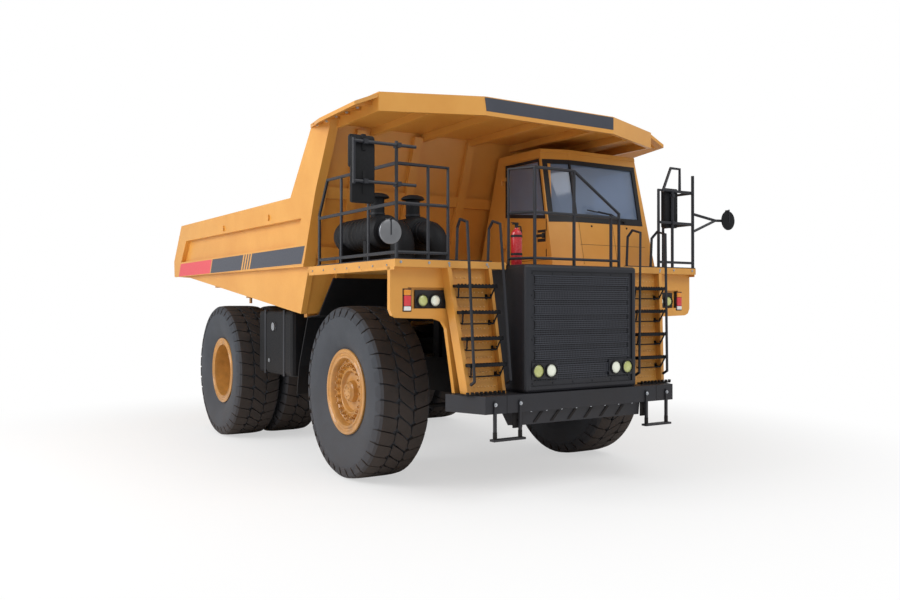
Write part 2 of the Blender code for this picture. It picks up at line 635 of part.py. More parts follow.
def door_window(margin):
    """(y, z) outline of the door's window."""
    return [(-3.215 - margin, 3.350 - margin), (-3.085 - margin, 4.075 + margin),
            (DOOR_REAR_Y - 0.060 + margin, 4.075 + margin), (DOOR_REAR_Y - 0.060 + margin, 3.430 - margin)]


def make_cab():
    """Hollow cab shell with its openings, the fixed glass and what stands inside."""
    floor = DECK_TOP + GAP
    shell = cab_block(0.0, floor, CAB_ROOF)
    hollow = cab_block(CAB_WALL, floor + CAB_WALL, CAB_ROOF - 0.100)
    doorway = plate(door_outline(DOOR_GAP), "YZ", CAB_RIGHT - 0.1, CAB_RIGHT + 0.1)
    shell = cut(shell, [hollow, windshield_cutter(0.0), rear_window_cutter(0.0), side_window_cutter(0.0),
                        doorway])
    hinge_x, hinge_y = CAB_RIGHT - DOOR_HINGE_OUT, DOOR_REAR_Y + 0.030
    lugs = [box((hinge_x, hinge_y - 0.012, z), (CAB_RIGHT + 0.020, hinge_y + 0.012, z + 0.050))
            for z in (2.900, 3.850)]
    lugs += [cylinder((hinge_x, hinge_y, z), (hinge_x, hinge_y, z + 0.050), DOOR_HINGE_RADIUS, SMALL_SEGMENTS)
             for z in (2.900, 3.850)]
    finish(fuse([shell] + lugs), "cab_shell", "yellow_paint")

    for name, cutter in (("windshield", windshield_cutter), ("rear_window", rear_window_cutter),
                         ("left_window", side_window_cutter)):
        layer = cut(cab_block(GLASS_DEPTH, floor, CAB_ROOF - 0.02),
                    [cab_block(GLASS_DEPTH + GLASS_THICK, floor - 0.1, CAB_ROOF + 0.1)])
        finish(combine(layer, [cutter(GAP)], "INTERSECT"), name, "glass")

    panel = plate(door_outline(0.0), "YZ", CAB_RIGHT, CAB_RIGHT + 0.050, [door_window(0.0)])
    handle = box((CAB_RIGHT - 0.030, -3.230, 3.040), (CAB_RIGHT + 0.010, -3.120, 3.120))
    arms = []
    for z in (2.950 + PIN_GAP, 3.900 + PIN_GAP):
        arms.append(cylinder((hinge_x, hinge_y, z), (hinge_x, hinge_y, z + 0.050), DOOR_HINGE_RADIUS,
                             SMALL_SEGMENTS))
        arms.append(box((hinge_x - 0.012, DOOR_REAR_Y - 0.050, z), (hinge_x + 0.012, hinge_y, z + 0.050)))
        arms.append(box((hinge_x - 0.012, DOOR_REAR_Y - 0.050, z), (CAB_RIGHT + 0.020, DOOR_REAR_Y - 0.012,
                                                                     z + 0.050)))
    origin = (hinge_x, hinge_y, 2.900)
    finish(fuse([panel, handle] + arms), "cab_door", "yellow_paint", origin)
    pane = plate(door_window(-GAP), "YZ", CAB_RIGHT + 0.015, CAB_RIGHT + 0.035)
    finish(pane, "cab_door_glass", "glass", origin)

    inside = floor + CAB_WALL + GAP
    seat = fuse([box((1.280, -2.780, inside), (1.620, -2.450, inside + 0.360)),
                 box((1.200, -2.900, inside + 0.340), (1.700, -2.380, inside + 0.480)),
                 hull([(x, y, z) for x in (1.210, 1.690)
                       for y, z in ((-2.460, inside + 0.440), (-2.360, inside + 0.440), (-2.400, inside + 1.100),
                                    (-2.330, inside + 1.100))])])
    finish(seat, "operator_seat", "trim")
    wheel_centre = Vector((1.450, -2.990, 3.420))
    tilt = Matrix.Rotation(math.radians(-55), 4, "X")
    bm = bmesh.new()
    bmesh.ops.create_cone(bm, cap_ends=True, segments=SMALL_SEGMENTS, radius1=0.200, radius2=0.200, depth=0.030)
    bm.transform(Matrix.Translation(wheel_centre) @ tilt.inverted())
    wheel = from_bmesh("wheel", bm)
    console = fuse([box((0.900, -3.360, inside), (2.020, -3.200, 3.230)),
                    cylinder((1.450, -3.280, 3.180), wheel_centre, 0.035, 8), wheel])
    finish(console, "dashboard", "trim")


# ---------------------------------------------------------------- deck equipment
def make_air_cleaners():
    """Two air cleaner drums with intake stacks and elbows, on a shared stand."""
    floor = DECK_TOP + GAP
    pieces = [box((-2.140, y, floor), (-1.370, y + 0.080, 2.900)) for y in (-3.300, -2.650)]
    for x, stack_y in ((-1.980, -3.200), (-1.530, -3.250)):
        pieces.append(cylinder((x, -3.475, 3.000), (x, -2.375, 3.000), 0.200, 20))
        pieces.append(cylinder((x, stack_y, 3.000), (x, stack_y, 3.420), 0.085, 12))
        pieces.append(cylinder((x, stack_y, 3.400), (x, stack_y, 3.470), 0.140, 12, 0.110))
        pieces.append(tube([(x, -3.450, 3.000), (x, -3.700, 2.960), (x, -3.800, 2.850), (x, -3.800, floor)],
                           0.135, 3))
    finish(fuse(pieces), "air_cleaners", "black_paint")
    foot = HOUSING_TOP + GAP
    finish(fuse([cylinder((-0.640, -4.120, foot), (-0.640, -4.120, 3.040), 0.065, 12),
                 cylinder((-0.640, -4.120, 3.020), (-0.640, -4.120, 3.120), 0.025, 8)]),
           "fire_extinguisher", "red_paint")


def side_rail(side):
    """Posts and rails round one front corner of the deck, as tube routes."""
    x, y, foot = side * RAIL_X, RAIL_Y, DECK_TOP + STRIP_THICK / 2
    inner = side * 1.625
    routes = [[(x, y, foot), (x, y, 3.890)],
              [(inner, y, foot), (inner, y, RAIL_TOP_Z), (x, y, RAIL_TOP_Z)],
              [(side * 1.880, y, foot), (side * 1.880, y, RAIL_TOP_Z)],
              [(inner, y, RAIL_MID_Z), (x, y, RAIL_MID_Z)],
              [(inner, y, RAIL_TOE_Z), (x, y, RAIL_TOE_Z)]]
    for near, foot_x, low_x in ((-1.500, -1.518, -1.470), (-1.075, -1.078, -0.985)):
        routes.append([(side * -near, y + 0.02, foot), (side * -near, y, 3.020), (side * -foot_x, -4.260, 3.100),
                       (side * -foot_x, -4.400, 3.060), (side * -low_x, -4.470, 1.330), (side * -low_x, -4.400, 1.290)])
    return routes


def bars(routes):
    """Tubes along the routes, each a touch thinner than the last so that none share a surface."""
    return [tube(route, TUBE_RADIUS - TUBE_STEP * (index % 7)) for index, route in enumerate(routes)]


def mirror_arm(side, low, high, out_x):
    """Two bars and an upright that reach outboard of the corner post."""
    y = MIRROR_TUBE_Y
    return [cylinder((side * 2.060, y, high), (side * out_x, y, high), 0.0180, 8),
            cylinder((side * 2.060, y, low), (side * out_x, y, low), 0.0175, 8),
            cylinder((side * (out_x - 0.010), y, low - 0.030), (side * (out_x - 0.010), y, high + 0.030),
                     0.0170, 8)]


def clamp_blocks(places, y_low, y_high, half=0.024):
    """Small blocks that tie a tube to what it carries."""
    return [box((x - half, y_low, z - half), (x + half, y_high, z + half)) for x, z in places]


def foot_strips(side, rear_y):
    """The strips on the deck that the posts and grab rails stand on."""
    low, high = sorted((side * 1.050, side * (RAIL_X + 0.025)))
    edge_low, edge_high = sorted((side * (RAIL_X - 0.026), side * (RAIL_X + 0.024)))
    floor, top = DECK_TOP + GAP, DECK_TOP + STRIP_THICK
    return [box((low, RAIL_Y - 0.024, floor), (high, RAIL_Y + 0.045, top)),
            box((edge_low, RAIL_Y + 0.010, floor), (edge_high, rear_y + 0.030, top + 0.001))]


def make_handrails():
    """Three handrails, the mirrors they carry and the round convex mirrors."""
    x, y, foot = -RAIL_X, RAIL_Y, DECK_TOP + STRIP_THICK / 2
    rear_y = -2.205
    routes = side_rail(-1)
    routes += [[(x, y, RAIL_TOP_Z), (x, -2.445, RAIL_TOP_Z + 0.03), (x, rear_y, 3.280), (x, rear_y, foot)],
               [(x, y, RAIL_MID_Z), (x, rear_y, RAIL_MID_Z)],
               [(x, y, RAIL_TOE_Z), (x, rear_y, RAIL_TOE_Z)]]
    routes += [[(x, post_y, foot), (x, post_y, RAIL_TOP_Z + 0.01)] for post_y in (-3.535, -2.835)]
    arm = mirror_arm(-1, 3.430, 3.840, 2.800)
    routes.append([(x, RAIL_Y, 3.050), (x - 0.130, -4.210, 3.050), (x - 0.130, -4.235, 2.920)])
    mirror_y = MIRROR_TUBE_Y + TUBE_RADIUS + 0.004
    blocks = clamp_blocks([(-2.660, 3.841), (-2.660, 3.431)], MIRROR_TUBE_Y - 0.026, mirror_y)
    blocks += clamp_blocks([(x, 3.841), (x, 3.431)], MIRROR_TUBE_Y - 0.026, RAIL_Y + 0.026)
    blocks += foot_strips(-1, rear_y)
    disc_face = -4.275
    blocks += clamp_blocks([(x - 0.130, 2.922)], disc_face, -4.232)
    finish(fuse(bars(routes) + arm + blocks), "handrail_right", "dark_paint")
    mirror = fuse([box((-2.800, mirror_y + GAP, 3.210), (-2.530, mirror_y + 0.075, 3.900)),
                   box((-2.810, mirror_y + 0.030, 3.560), (-2.520, mirror_y + 0.095, 3.920))])
    finish(mirror, "side_mirror_right", "black_paint")
    finish(cylinder((x - 0.130, disc_face - 0.030, 2.920), (x - 0.130, disc_face - GAP, 2.920), 0.130),
           "convex_mirror_right", "mirror")

    x = RAIL_X
    routes = side_rail(1)
    routes += [[(x, y, RAIL_TOP_Z), (x, -3.650, RAIL_TOP_Z), (x, -3.650, foot)],
               [(x, y, RAIL_MID_Z), (x, -3.650, RAIL_MID_Z)]]
    routes.append([(1.700, y, RAIL_TOP_Z - 0.02), (1.850, y, 3.960), (2.020, y, 3.960), (2.020, y, RAIL_TOP_Z)])
    routes.append([(x, y, 3.380), (2.600, -4.280, 3.300), (2.735, -4.330, 3.300)])
    routes.append([(x, y, 3.140), (2.600, -4.280, 3.300)])
    mirror_y = RAIL_Y + TUBE_RADIUS + 0.004
    blocks = clamp_blocks([(1.881, 3.600), (1.881, RAIL_MID_Z + 0.001)], RAIL_Y - 0.026, mirror_y)
    blocks += foot_strips(1, -3.650)
    disc_face = -4.370
    blocks += clamp_blocks([(2.735, 3.302)], disc_face, -4.327)
    finish(fuse(bars(routes) + blocks), "handrail_left", "dark_paint")
    finish(box((1.780, mirror_y + GAP, 3.180), (2.020, mirror_y + 0.090, 3.700)), "side_mirror_left", "black_paint")
    finish(cylinder((2.735, disc_face - 0.030, 3.300), (2.735, disc_face - GAP, 3.300), 0.130),
           "convex_mirror_left", "mirror")

    foot = HOUSING_TOP + GAP
    front = -4.475
    posts = (-0.650, -0.070, 0.510)
    routes = [[(px, front, foot), (px, front, 3.720 if px < 0.4 else 3.240)] for px in posts]
    routes.append([(-0.800, -4.180, foot), (-0.800, -4.180, 3.720), (-0.650, front, 3.720),
                   (-0.070, front, 3.720), (0.640, front, 3.260), (0.640, front, foot)])
    routes.append([(-0.800, -4.180, 3.210), (-0.650, front, 3.210), (0.640, front, 3.210)])
    routes.append([(-0.800, -4.180, 2.690), (-0.650, front, 2.690), (0.640, front, 2.690)])
    finish(fuse(bars(routes)), "handrail_front", "dark_paint")


# ---------------------------------------------------------------- dump body
def bed_top(y):
    """Height of the side's top edge at y."""
    return line_at(BED_FRONT_TOP, BED_TAIL_TOP, y)


def make_bed():
    """Open dump body: sides with recessed panels, floor, lower headboard and rock ejectors."""
    side = [BED_FRONT_TOP, BED_TAIL_TOP, BED_TAIL_TIP, BED_TAIL, BED_BELLY_REAR, BED_BELLY_FRONT, BED_FRONT_KINK]
    ribs = [BED_FRONT_TOP, BED_TAIL_TOP, BED_TAIL_TIP, BED_TAIL, BED_FRONT_KINK]
    recess = [(-1.385, 2.950), (-1.575, 3.300), (3.827, 3.340), (4.155, 2.960)]
    pieces = both_sides(plate(side, "YZ", SIDE_INNER, BED_SKIN))
    pieces += both_sides(plate(ribs, "YZ", RIB_INNER, BED_HALF, [recess]))
    inner = SIDE_INNER + 0.030
    front_z = BED_BELLY_FRONT[1]
    underside = [(y, belly(y)) for y in (BED_BELLY_FRONT[0] + 0.040, BED_BELLY_REAR[0], BED_TAIL[0] - 0.003)]
    floor = underside + [(y, z + FLOOR_THICK) for y, z in reversed(underside)]
    pieces.append(plate(floor, "YZ", -inner, inner))
    low = front_z + 2 * FLOOR_LIFT
    board = [(headboard_y(low), low), (headboard_y(BED_TOP), BED_TOP),
             (headboard_y(BED_TOP) + HEADBOARD_THICK, BED_TOP), (headboard_y(low) + HEADBOARD_THICK, low)]
    pieces.append(plate(board, "YZ", -inner, inner))
    middle = (REAR_OUTER_X + REAR_INNER_X) / 2
    hang_y = 2.475
    pieces += both_sides(box((middle - 0.014, hang_y - 0.035, 2.190), (middle + 0.014, hang_y + 0.035,
                                                                       belly(hang_y) + 0.030)))
    finish(fuse(pieces), "dump_bed", "yellow_paint", (0, PIVOT_Y, PIVOT_Z))


def make_canopy():
    """Headboard extension, uprights, canopy plate with its lip, side wings and ribs."""
    low = bed_top(headboard_y(BED_TOP) + HEADBOARD_THICK) + GAP
    board = [(headboard_y(low), low), (headboard_y(4.480), 4.480), (headboard_y(4.480) + HEADBOARD_THICK, 4.480),
             (headboard_y(low) + HEADBOARD_THICK, low)]
    inner = POST_INNER + 0.035
    pieces = [plate(board, "YZ", -inner, inner)]
    post = [(-2.025, bed_top(-2.025) + GAP), (-1.195, bed_top(-1.195) + GAP), (-1.930, 4.480), (-2.530, 4.480)]
    pieces += both_sides(plate(post, "YZ", POST_INNER, BED_HALF))
    corner_x, corner_y = CANOPY_CORNER
    front_half, front_y, rear_y = CANOPY_FRONT_HALF, CANOPY_FRONT_Y, CANOPY_REAR_Y
    outline = [(-front_half, front_y), (front_half, front_y), (corner_x, corner_y), (corner_x, rear_y),
               (-corner_x, rear_y), (-corner_x, corner_y)]
    inside = [(-front_half + 0.010, front_y + 0.050), (front_half - 0.010, front_y + 0.050),
              (corner_x - 0.044, corner_y + 0.040), (corner_x - 0.044, rear_y + 0.500),
              (-corner_x + 0.044, rear_y + 0.500), (-corner_x + 0.044, corner_y + 0.040)]
    roof = cut(plate(outline, "XY", CANOPY_LIP, CANOPY_TOP),
               [plate(inside, "XY", CANOPY_LIP - 0.1, CANOPY_PLATE),
                box((-2.105, headboard_y(CANOPY_LIP) + 0.02, CANOPY_LIP - 0.1), (2.105, 0.0, CANOPY_PLATE - 0.01))])
    pieces.append(roof)
    for x in (-1.500, -0.750, 0.0, 0.750, 1.500):
        start = front_y + 0.020 if abs(x) < front_half else corner_y - 0.130
        pieces.append(box((x - 0.040, start, CANOPY_LIP + 0.012), (x + 0.040, headboard_y(4.420) + 0.03, 4.470)))
    wing = [(2.130, -3.535, 4.560), (2.430, -3.510, 4.434), (WING_TIP_X, -2.710, 4.380), (2.262, -1.900, 4.475),
            (2.130, -1.900, 4.555)]
    for side in (-1, 1):
        corners = [(side * x, y, z - drop) for x, y, z in wing for drop in (0.0, 0.045)]
        pieces.append(hull(corners))
    finish(fuse(pieces), "bed_canopy", "yellow_paint", (0, PIVOT_Y, PIVOT_Z))


def make_bed_frame():
    """Beams under the floor, hinge plates at the tail and forks for the hoist heads."""
    def under(y):
        return belly(y) - GAP
    bottom = RAIL_TOP_REAR + BEAM_GAP
    beam = [(-1.100, under(-1.100)), (3.300, under(3.300)), (3.300, 2.300), (2.950, 1.960), (2.430, 1.960),
            (2.280, bottom), (0.200, bottom), (-1.100, 1.900)]
    pieces = both_sides(plate(beam, "YZ", RAIL_IN, RAIL_OUT))
    for y in (-0.900, 0.300, 1.500, 3.150):
        width = RAIL_OUT + (1.400 if y != 0.300 else 0.0)
        corners = [(x, yy, zz) for x in (-width, width) for yy in (y - 0.05, y + 0.05)
                   for zz in (under(yy) - 0.001, under(y) - 0.110)]
        pieces.append(hull(corners))
    plate_low, plate_high = HINGE_PLATE_X, HINGE_PLATE_X + HINGE_PLATE_THICK
    hinge = [(2.440, 2.400), (2.900, 2.400), (2.860, 1.740), (2.770, 1.590), (2.540, 1.590), (2.450, 1.740)]
    hole = [(PIVOT_Y + 0.0878 * math.cos(turn), PIVOT_Z + 0.0878 * math.sin(turn))
            for turn in (2 * math.pi * i / CYLINDER_SEGMENTS for i in range(CYLINDER_SEGMENTS))]
    pieces += both_sides(plate(hinge, "YZ", plate_low, plate_high, [hole]))
    pieces += both_sides(box((0.400, 2.450, 1.980), (plate_high - 0.010, 2.890, 2.380)))
    head_y, head_z = HOIST_HEAD
    for x_low in (HOIST_X - 0.095, HOIST_X + 0.065):
        fork = [(head_y - 0.150, under(head_y - 0.150)), (head_y + 0.150, under(head_y + 0.150)),
                (head_y + 0.090, head_z - 0.090), (head_y - 0.090, head_z - 0.090)]
        pieces += both_sides(plate(fork, "YZ", x_low, x_low + 0.030))
    pieces += both_sides(box((0.450, head_y + 0.110, 2.180), (HOIST_X + 0.090, head_y + 0.145, 2.250)))
    finish(fuse(pieces), "bed_frame", "yellow_paint", (0, PIVOT_Y, PIVOT_Z))


# ---------------------------------------------------------------- hoist
def make_hoist():
    """Two-stage hoist cylinders between the rails' feet and the bed's forks."""
    foot = Vector((HOIST_X, *HOIST_FOOT))
    head = Vector((HOIST_X, *HOIST_HEAD))
    along = (head - foot).normalized()

    def at(distance):
        return foot + along * distance

    def hollow(start, end, radius, bore):
        return cut(cylinder(at(start), at(end), radius, SMALL_SEGMENTS),
                   [cylinder(at(start + 0.03), at(end + 0.1), bore, SMALL_SEGMENTS)])
    across = Vector((1, 0, 0))
    bore = cylinder(foot - across * 0.2, foot + across * 0.2, 0.0525, SMALL_SEGMENTS)
    eye = cylinder(foot - across * HOIST_EYE_HALF, foot + across * HOIST_EYE_HALF, HOIST_EYE_RADIUS, SMALL_SEGMENTS)
    barrel = fuse([hollow(0.110, BARREL_LENGTH, BARREL_RADIUS, STAGE_RADIUS + SLIDE_GAP),
                   cylinder(at(0.0), at(0.125), 0.080, SMALL_SEGMENTS), eye])
    pair(cut(barrel, [bore]), "hoist_barrel", "yellow_paint", tuple(foot))
    pair(hollow(STAGE_START, STAGE_END, STAGE_RADIUS, ROD_RADIUS + SLIDE_GAP), "hoist_stage", "steel", tuple(foot))
    length = (head - foot).length
    rod = fuse([cylinder(at(ROD_START), at(length - 0.040), ROD_RADIUS, SMALL_SEGMENTS),
                cylinder(head - across * 0.055, head + across * 0.055, 0.075, SMALL_SEGMENTS)])
    pair(rod, "hoist_rod", "steel", tuple(head))


def main():
    """Build every sub-part of the truck."""
    make_frame()
    make_bumper()
    make_radiator()
    make_power_train()
    make_deck()
    make_fenders()
    make_mudguards()
    make_tanks()
    make_rear_axle()
    make_steering()
    make_wheels()
    make_cab()
    make_air_cleaners()
    make_handrails()
    make_bed()
    make_canopy()
    make_bed_frame()
    make_hoist()


clear_scene()
TRUCK = bpy.data.collections.new("mining_dump_truck")
bpy.context.scene.collection.children.link(TRUCK)
main()
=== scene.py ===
"""Looks for a rigid off-highway mining dump truck of the 55 t class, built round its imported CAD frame.

The truck faces -Y and its left (cab) side is +X. Every length is in metres unless its name says mm.
"""
import json
import logging
import math
from collections.abc import Iterable, Sequence
from dataclasses import dataclass
from enum import Enum

import bmesh
import bpy
from mathutils import Matrix, Vector

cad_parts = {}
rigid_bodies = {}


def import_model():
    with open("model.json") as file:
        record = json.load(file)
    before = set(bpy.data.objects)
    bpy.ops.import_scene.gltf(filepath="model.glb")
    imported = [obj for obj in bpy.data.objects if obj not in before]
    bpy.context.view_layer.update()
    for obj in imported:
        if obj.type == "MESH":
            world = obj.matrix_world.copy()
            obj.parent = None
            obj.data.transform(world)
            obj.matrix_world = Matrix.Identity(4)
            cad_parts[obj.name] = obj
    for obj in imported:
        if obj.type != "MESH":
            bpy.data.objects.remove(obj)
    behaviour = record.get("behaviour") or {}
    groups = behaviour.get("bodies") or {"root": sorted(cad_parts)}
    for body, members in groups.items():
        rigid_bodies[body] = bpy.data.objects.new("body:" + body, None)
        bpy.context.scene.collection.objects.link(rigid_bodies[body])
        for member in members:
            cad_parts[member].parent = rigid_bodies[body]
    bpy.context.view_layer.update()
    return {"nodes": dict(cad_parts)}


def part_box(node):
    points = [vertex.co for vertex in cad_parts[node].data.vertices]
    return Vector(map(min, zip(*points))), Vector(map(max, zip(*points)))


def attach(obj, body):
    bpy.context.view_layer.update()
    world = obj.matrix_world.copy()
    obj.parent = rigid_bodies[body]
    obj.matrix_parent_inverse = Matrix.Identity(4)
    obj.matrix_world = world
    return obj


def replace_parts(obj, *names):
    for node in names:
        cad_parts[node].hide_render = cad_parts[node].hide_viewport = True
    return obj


logging.basicConfig(level=logging.INFO, format="%(message)s")
LOG = logging.getLogger("hauler")

Point = tuple[float, float, float]
MM = 0.001
SIDES = (-1, 1)
SIDE_NAMES = {-1: "right", 1: "left"}
CHASSIS, DUMP_BODY, CAB_DOOR = "chassis", "dump_body", "cab_door"


class Slot(Enum):
    """The record's material slots."""

    YELLOW_PAINT = "yellow_paint"
    DARK_PAINT = "dark_paint"
    BLACK_PAINT = "black_paint"
    RED_PAINT = "red_paint"
    RUBBER = "rubber"
    STEEL = "steel"
    GLASS = "glass"
    MIRROR = "mirror"
    TRIM = "trim"


# ---------------------------------------------------------------- materials
def linear(code: str) -> tuple[float, float, float, float]:
    """Turn an sRGB hex colour into linear RGBA.

    Args:
        code: Colour as "#RRGGBB".

    Returns:
        Linear red, green and blue, with an alpha of 1.
    """
    shares = [int(code[i:i + 2], 16) / 255 for i in (1, 3, 5)]
    low = [c / 12.92 if c <= 0.04045 else ((c + 0.055) / 1.055) ** 2.4 for c in shares]
    return (low[0], low[1], low[2], 1.0)


def add_node(tree: bpy.types.NodeTree, kind: str, inputs: dict | None = None, **settings: object) -> bpy.types.Node:
    """Add a shader node with its settings and its inputs.

    Args:
        tree: Node tree of the material or world.
        kind: Blender's name of the node type.
        inputs: Socket name or index, and the value or output socket that feeds it.
        **settings: Properties of the node.

    Returns:
        The new node.
    """
    made = tree.nodes.new(kind)
    for name, value in settings.items():
        setattr(made, name, value)
    for name, value in (inputs or {}).items():
        if isinstance(value, bpy.types.NodeSocket):
            tree.links.new(value, made.inputs[name])
        else:
            made.inputs[name].default_value = value
    return made


@dataclass(frozen=True)
class Finish:
    """A surface finish: what the real one is, and how it is made.

    Attributes:
        name: Common name of the material and its surface.
        colour: Colour of the clean surface, as sRGB hex.
        shade: Colour that the large patches drift towards, as sRGB hex.
        roughness: Mean roughness.
        roughness_drift: How far roughness moves in the patches.
        metallic: 1 for bare metal.
        coat: Weight of the clear layer.
        patch_mm: Size of the colour patches.
        grain_mm: Size of the surface grain.
        grain_depth_mm: Height of the grain.
        dust: Share of road dust near the ground.
        specular: Level of the dielectric gloss, 0.5 for smooth paint.
        slot: Slot of the record that it belongs to.
    """
    name: str
    colour: str
    shade: str
    roughness: float
    roughness_drift: float = 0.05
    metallic: float = 0.0
    coat: float = 0.0
    patch_mm: float = 600.0
    grain_mm: float = 30.0
    grain_depth_mm: float = 0.4
    dust: float = 0.0
    specular: float = 0.5
    slot: Slot = Slot.YELLOW_PAINT

    def material(self) -> bpy.types.Material:
        """Return this finish as a node material, made once."""
        found = bpy.data.materials.get(self.name)
        if found:
            return found
        made = bpy.data.materials.new(self.name)
        made.use_nodes = True
        self.build(made.node_tree)
        return made

    def build(self, tree: bpy.types.NodeTree) -> None:
        """Lay out the nodes of this finish.

        Args:
            tree: Node tree with Blender's default shader in it.
        """
        shader = tree.nodes["Principled BSDF"]
        place = add_node(tree, "ShaderNodeTexCoord").outputs["Object"]
        patches = add_node(tree, "ShaderNodeTexNoise", {"Vector": place, "Scale": 1000 / self.patch_mm,
                                                        "Detail": 4.0, "Roughness": 0.6})
        grain = add_node(tree, "ShaderNodeTexNoise", {"Vector": place, "Scale": 1000 / self.grain_mm,
                                                      "Detail": 3.0, "Roughness": 0.55})
        spread = add_node(tree, "ShaderNodeMapRange", {"Value": patches.outputs[0], "From Min": 0.35,
                                                       "From Max": 0.65})
        colour = self.colour_of(tree, place, spread.outputs[0])
        if self.dust:
            colour = self.dusted(tree, place, patches.outputs[0], colour)
        tree.links.new(colour, shader.inputs["Base Color"])
        rough = add_node(tree, "ShaderNodeMapRange", {"Value": grain.outputs[0], "From Min": 0.3, "From Max": 0.7,
                                                      "To Min": self.roughness - self.roughness_drift,
                                                      "To Max": self.roughness + self.roughness_drift})
        tree.links.new(rough.outputs[0], shader.inputs["Roughness"])
        bump = add_node(tree, "ShaderNodeBump", {"Height": self.relief(tree, place, grain.outputs[0]),
                                                 "Strength": 0.35, "Distance": self.grain_depth_mm * MM})
        tree.links.new(bump.outputs[0], shader.inputs["Normal"])
        shader.inputs["Metallic"].default_value = self.metallic
        shader.inputs["Coat Weight"].default_value = self.coat
        shader.inputs["Specular IOR Level"].default_value = self.specular
        shader.inputs["Coat Roughness"].default_value = 0.15

    def relief(self, tree: bpy.types.NodeTree, place: bpy.types.NodeSocket,
               grain: bpy.types.NodeSocket) -> bpy.types.NodeSocket:
        """Return the height that bumps the surface: here its grain."""
        return grain

    def colour_of(self, tree: bpy.types.NodeTree, place: bpy.types.NodeSocket,
                  spread: bpy.types.NodeSocket) -> bpy.types.NodeSocket:
        """Mix the clean colour with its patches.

        Args:
            tree: Node tree to add to.
            place: Object coordinates.
            spread: How far a patch is towards the shade, 0 to 1.

        Returns:
            The colour socket.
        """
        mixed = add_node(tree, "ShaderNodeMix", {0: spread, 6: linear(self.colour), 7: linear(self.shade)},
                         data_type="RGBA")
        return mixed.outputs[2]

    def dusted(self, tree: bpy.types.NodeTree, place: bpy.types.NodeSocket, patches: bpy.types.NodeSocket,
               colour: bpy.types.NodeSocket) -> bpy.types.NodeSocket:
        """Lay road dust over the lowest metre and a half.

        Args:
            tree: Node tree to add to.
            place: Object coordinates.
            patches: Noise that breaks up the dust's edge.
            colour: Colour under the dust.

        Returns:
            The colour socket with dust on it.
        """
        height = add_node(tree, "ShaderNodeSeparateXYZ", {0: place}).outputs[2]
        low = add_node(tree, "ShaderNodeMapRange", {"Value": height, "From Min": 1.5, "From Max": 0.0,
                                                    "To Max": self.dust})
        share = add_node(tree, "ShaderNodeMath", {0: low.outputs[0], 1: patches}, operation="MULTIPLY")
        mixed = add_node(tree, "ShaderNodeMix", {0: share.outputs[0], 6: colour, 7: linear(ROAD_DUST)},
                         data_type="RGBA")
        return mixed.outputs[2]


ROAD_DUST = "#6E5A4A"


class StripedEnamel(Finish):
    """Bed enamel with the red and dark bands along the sides painted in one masking."""

    band_low, band_high = 2.700, 2.930
    lean = -0.50  # how far an end of a band runs forward for each metre up
    red_ends = (2.330, 4.250)
    dark_ends = (-1.640, 2.290)
    hatch_ends = (0.300, 0.740)
    hatch_pitch = 0.110

    def colour_of(self, tree: bpy.types.NodeTree, place: bpy.types.NodeSocket,
                  spread: bpy.types.NodeSocket) -> bpy.types.NodeSocket:
        """Paint the bands over the enamel.

        Args:
            tree: Node tree to add to.
            place: Object coordinates.
            spread: How far a patch is towards the shade, 0 to 1.

        Returns:
            The colour socket.
        """
        base = super().colour_of(tree, place, spread)
        split = add_node(tree, "ShaderNodeSeparateXYZ", {0: place})
        across, along, height = split.outputs

        def math_node(operation: str, first: object, second: object = 0.0) -> bpy.types.NodeSocket:
            """Return the result of one Math node."""
            return add_node(tree, "ShaderNodeMath", {0: first, 1: second}, operation=operation).outputs[0]

        def within(value: bpy.types.NodeSocket, low: float, high: float) -> bpy.types.NodeSocket:
            """Return 1 where the value lies between two limits."""
            return math_node("MULTIPLY", math_node("GREATER_THAN", value, low), math_node("LESS_THAN", value, high))
        slanted = math_node("SUBTRACT", along, math_node("MULTIPLY", height, self.lean))
        offset = -self.lean * (self.band_low + self.band_high) / 2
        outer = math_node("GREATER_THAN", math_node("ABSOLUTE", across), 2.245)
        band = math_node("MULTIPLY", outer, within(height, self.band_low, self.band_high))
        red = math_node("MULTIPLY", band, within(slanted, self.red_ends[0] + offset, self.red_ends[1] + offset))
        dark = math_node("MULTIPLY", band, within(slanted, self.dark_ends[0] + offset, self.dark_ends[1] + offset))
        hatched = within(slanted, self.hatch_ends[0] + offset, self.hatch_ends[1] + offset)
        line = math_node("LESS_THAN", math_node("FLOORED_MODULO", slanted, self.hatch_pitch), self.hatch_pitch / 2)
        dark = math_node("MULTIPLY", dark, math_node("SUBTRACT", 1.0, math_node("MULTIPLY", hatched, line)))
        first = add_node(tree, "ShaderNodeMix", {0: red, 6: base, 7: linear("#DC4A55")}, data_type="RGBA")
        second = add_node(tree, "ShaderNodeMix", {0: dark, 6: first.outputs[2], 7: linear("#3E424D")},
                          data_type="RGBA")
        return second.outputs[2]


